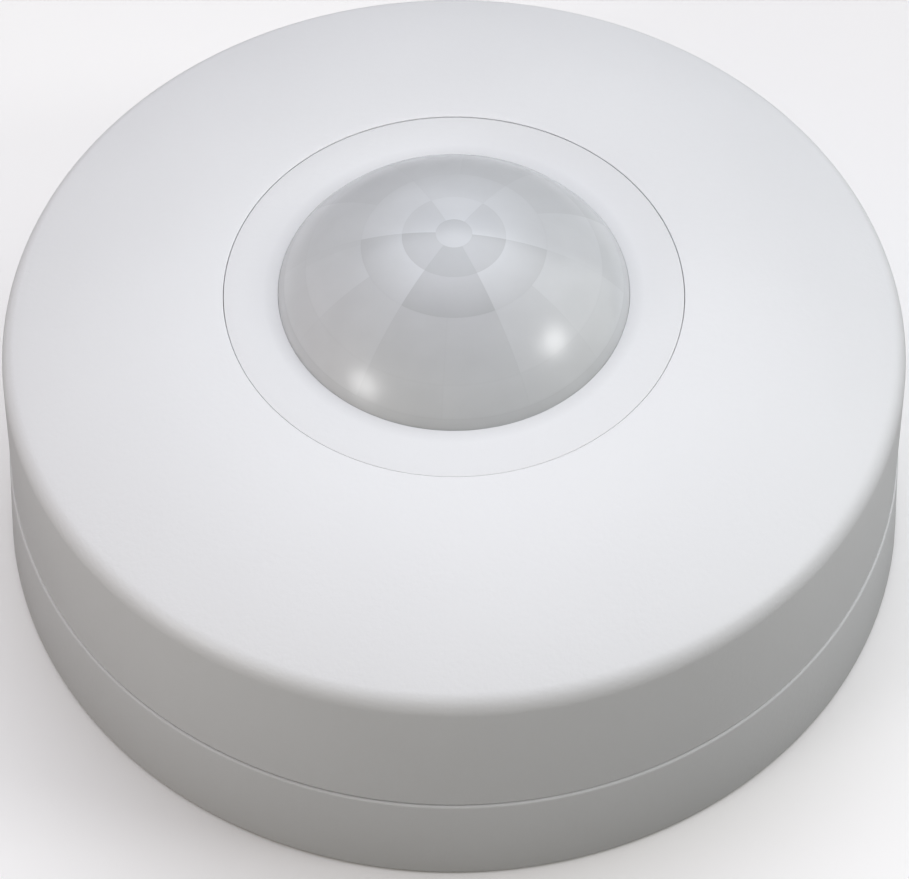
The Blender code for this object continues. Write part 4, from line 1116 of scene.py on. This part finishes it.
def heat_sensor():
    """A drawn can with a base flange, a locating tab and three leads, in a moulded collar."""
    low, high = box("heat_sensor_can")
    can_radius, flange, flange_bottom, flange_top = 4.1, 4.7, 33.2, 33.8
    corners = [
        (0, flange_bottom), (flange, flange_bottom, 0.15), (flange, flange_top, 0.15),
        (can_radius, flange_top, 0.2), (can_radius, high.z, 0.45), (0, high.z),
    ]
    can = spun(corners)
    cut(can, plan_box(4.6, 3.6, 36.8, 38))
    tab = plan_box(1.2, 0.9, 33.25, 33.75, (4.9, 0), 0.1)
    join(can, turned(tab, radians(45)))
    for angle in (90, 210, 330):
        join(can, rod(0.25, low.z + 0.05, 33.5, polar(2, radians(angle)), 16))
    piece(can, "heat_sensor_can_drawn", "cover", CAN, "heat_sensor_can")

    low, high = box("heat_sensor_collar")
    bore, seat, wall, ledge = 3.4, 5.1, 6.8, 32.9
    corners = [
        (bore, low.z, 0.2), (wall, low.z, 0.3), (wall, high.z, 0.4), (seat, high.z, 0.2),
        (seat, ledge), (bore, ledge),
    ]
    name = "heat_sensor_collar"
    piece(spun(corners), f"{name}_moulding", "cover", INNER_WHITE, name)


def indicator_lamp():
    low, high = box("indicator_lamp")
    radius = 1.5
    arc = [polar(radius, pi / 2 * i / 12) for i in range(12)]
    dome = [(x, high.z - radius + z) for x, z in arc]
    lens = lathe([(0, low.z), (radius, low.z)] + dome + [(0, high.z)], SMALL)
    placed(lens, centre_of(low, high))
    piece(lens, "indicator_lamp_lens", "cover", RED, "indicator_lamp")


def light_sensor():
    """A round cell with four scored lines."""
    low, high = box("light_sensor")
    cell = spun(section(0, 2.2, low.z, high.z, (0, 0.2, 0.4, 0)), SMALL)
    for i in range(4):
        cut(cell, plan_box(3.2, 0.25, high.z - 0.15, high.z + 1, (0, (i - 1.5) * 0.8)))
    placed(cell, centre_of(low, high))
    piece(cell, "light_sensor_cell", "cover", CELL, "light_sensor")


def cad_finishes():
    """Finishes, and rounded edges, for the CAD nodes that stay, by how their names start."""
    finishes = {
        TIN: ("terminal_bar", "plug_blade"),
        BRASS: ("terminal_clamp",),
        BLUE: ("relay_case", "varistor", "trimmer"),
        GREY: ("relay_bobbin", "dropper_resistor"),
        COPPER: ("relay_coil",),
        STEEL: ("relay_yoke", "relay_armature"),
        BLACK: ("fuse", "board_header", "control_chip"),
        GLASS: ("heat_sensor_window",),
    }
    for name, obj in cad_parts.items():
        if obj.hide_render:
            continue
        finish = next(finish for finish, starts in finishes.items() if name.startswith(starts))
        for slot in obj.material_slots:
            slot.material = finish
        weld = obj.modifiers.new("weld", "WELD")
        weld.merge_threshold = 1e-6
        bevel = obj.modifiers.new("bevel", "BEVEL")
        bevel.width = 0.12 * MM
        bevel.segments = 2
        bevel.limit_method = "ANGLE"
        bevel.angle_limit = radians(50)


# ---------------------------------------------------------------- stage, light and camera


FLOOR_COLOUR, FLOOR_BOUNCE = (0.96, 0.96, 0.96), (0.35, 0.35, 0.35)  # as the camera and as the sensor see it
# Azimuth, elevation, how narrow, and colour
GLOWS = [
    (0, 90, 4, (0.643, 0.608, 0.67)),
    (180, 60, 4, (1.53, 1.57, 1.66)),
    (180, 50, 16, (1.04, 1.08, 1.1)),
    (135, 30, 4, (1.29, 1.32, 1.33)),
    (-45, 20, 4, (0.409, 0.379, 0.25)),
    (-90, 12, 4, (0.173, 0.086, 0.09)),
    (90, 12, 4, (0.21, 0.19, 0.084)),
]


def stage():
    """A pale floor that curves up behind the sensor."""
    size, back, bend, level = 1.6, 1.2, 0.3, -0.0002
    arc = [pi / 2 * i / 12 for i in range(1, 13)]
    rows = [(-size, level), (back - bend, level)]
    rows += [(back - bend + bend * sin(a), bend - bend * cos(a) + level) for a in arc]
    rows += [(back, 1.4)]
    bm = bmesh.new()
    lines = [[bm.verts.new((x, y, z)) for x in (-size, size)] for y, z in rows]
    for near, far in zip(lines, lines[1:]):
        bm.faces.new((near[0], near[1], far[1], far[0]))
    mesh = bpy.data.meshes.new("floor")
    bm.to_mesh(mesh)
    bm.free()
    mesh.shade_smooth()
    ground = added("floor", mesh)
    material, shader, _ = surface("floor")
    seen = material.node_tree.nodes.new("ShaderNodeLightPath").outputs["Is Camera Ray"]
    colour = blended(seen, FLOOR_BOUNCE, FLOOR_COLOUR)
    feed(shader, {"Base Color": colour, "Roughness": 0.9, "Specular IOR Level": 0.0})
    mesh.materials.append(material)


def heading(azimuth, elevation):
    """The direction towards a light. Azimuth 0 is the camera's side."""
    a, e = radians(azimuth), radians(elevation)
    return Vector((sin(a) * cos(e), -cos(a) * cos(e), sin(e)))


def lamp(name, azimuth, elevation, distance, size, power):
    """A square soft light that faces the sensor."""
    data = bpy.data.lights.new(name, "AREA")
    data.size = size
    data.energy = power
    obj = added(name, data)
    place = heading(azimuth, elevation) * distance
    obj.location = place + Vector((0, 0, 0.03))
    obj.rotation_euler = place.to_track_quat("Z", "Y").to_euler()


def glow(rays, azimuth, elevation, spread, colour):
    """One broad soft light: brightest towards its direction and fading smoothly away from it."""
    inputs = {0: rays, 1: heading(azimuth, elevation)}
    facing = node("VectorMath", inputs, operation="DOT_PRODUCT").outputs["Value"]
    lit = maths("POWER", maths("MAXIMUM", facing, 0.0), float(spread))
    return scaled(colour, lit)


def light():
    """Cool light from above and behind, a dim warm fill, and two small lamps that spark on the lens."""
    world = bpy.data.worlds.new("studio")
    bpy.context.scene.world = world
    world.use_nodes = True
    nodes = world.node_tree.nodes
    rays = nodes.new("ShaderNodeTexCoord").outputs["Generated"]
    total = glow(rays, *GLOWS[0])
    for each in GLOWS[1:]:
        inputs = {0: total, 1: glow(rays, *each)}
        total = node("VectorMath", inputs, operation="ADD").outputs[0]
    feed(nodes["Background"], {"Color": total, "Strength": 1.0})
    lamp("spark_left", -54.5, 21.4, 0.9, 0.22, 1.0)
    lamp("spark_right", 77.5, 35.3, 0.9, 0.2, 0.95)


def camera():
    """The photograph's viewpoint: 54 degrees above the horizon, through a long lens."""
    elevation, distance = radians(53.98), 525.1 * MM
    data = bpy.data.cameras.new("camera")
    data.sensor_width = 36
    data.lens = 159.3
    data.shift_x = 0.0006
    data.shift_y = 0.0583
    data.clip_start = 0.01
    obj = added("camera", data)
    obj.location = (0, -distance * cos(elevation), distance * sin(elevation))
    obj.rotation_euler = (pi / 2 - elevation, 0, 0)
    bpy.context.scene.camera = obj


base_moulding()
cover_moulding()
adjuster_marks()
lens_moulding()
carrier_moulding()
ring_moulding()
fasteners()
grommet()
terminal_block()
socket_block()
wires()
boards()
power_parts()
for knob_name, knob_angle in KNOBS.items():
    knob(knob_name, knob_angle)
heat_sensor()
indicator_lamp()
light_sensor()
cad_finishes()
stage()
light()
camera()
bpy.context.scene.view_settings.view_transform = "Standard"
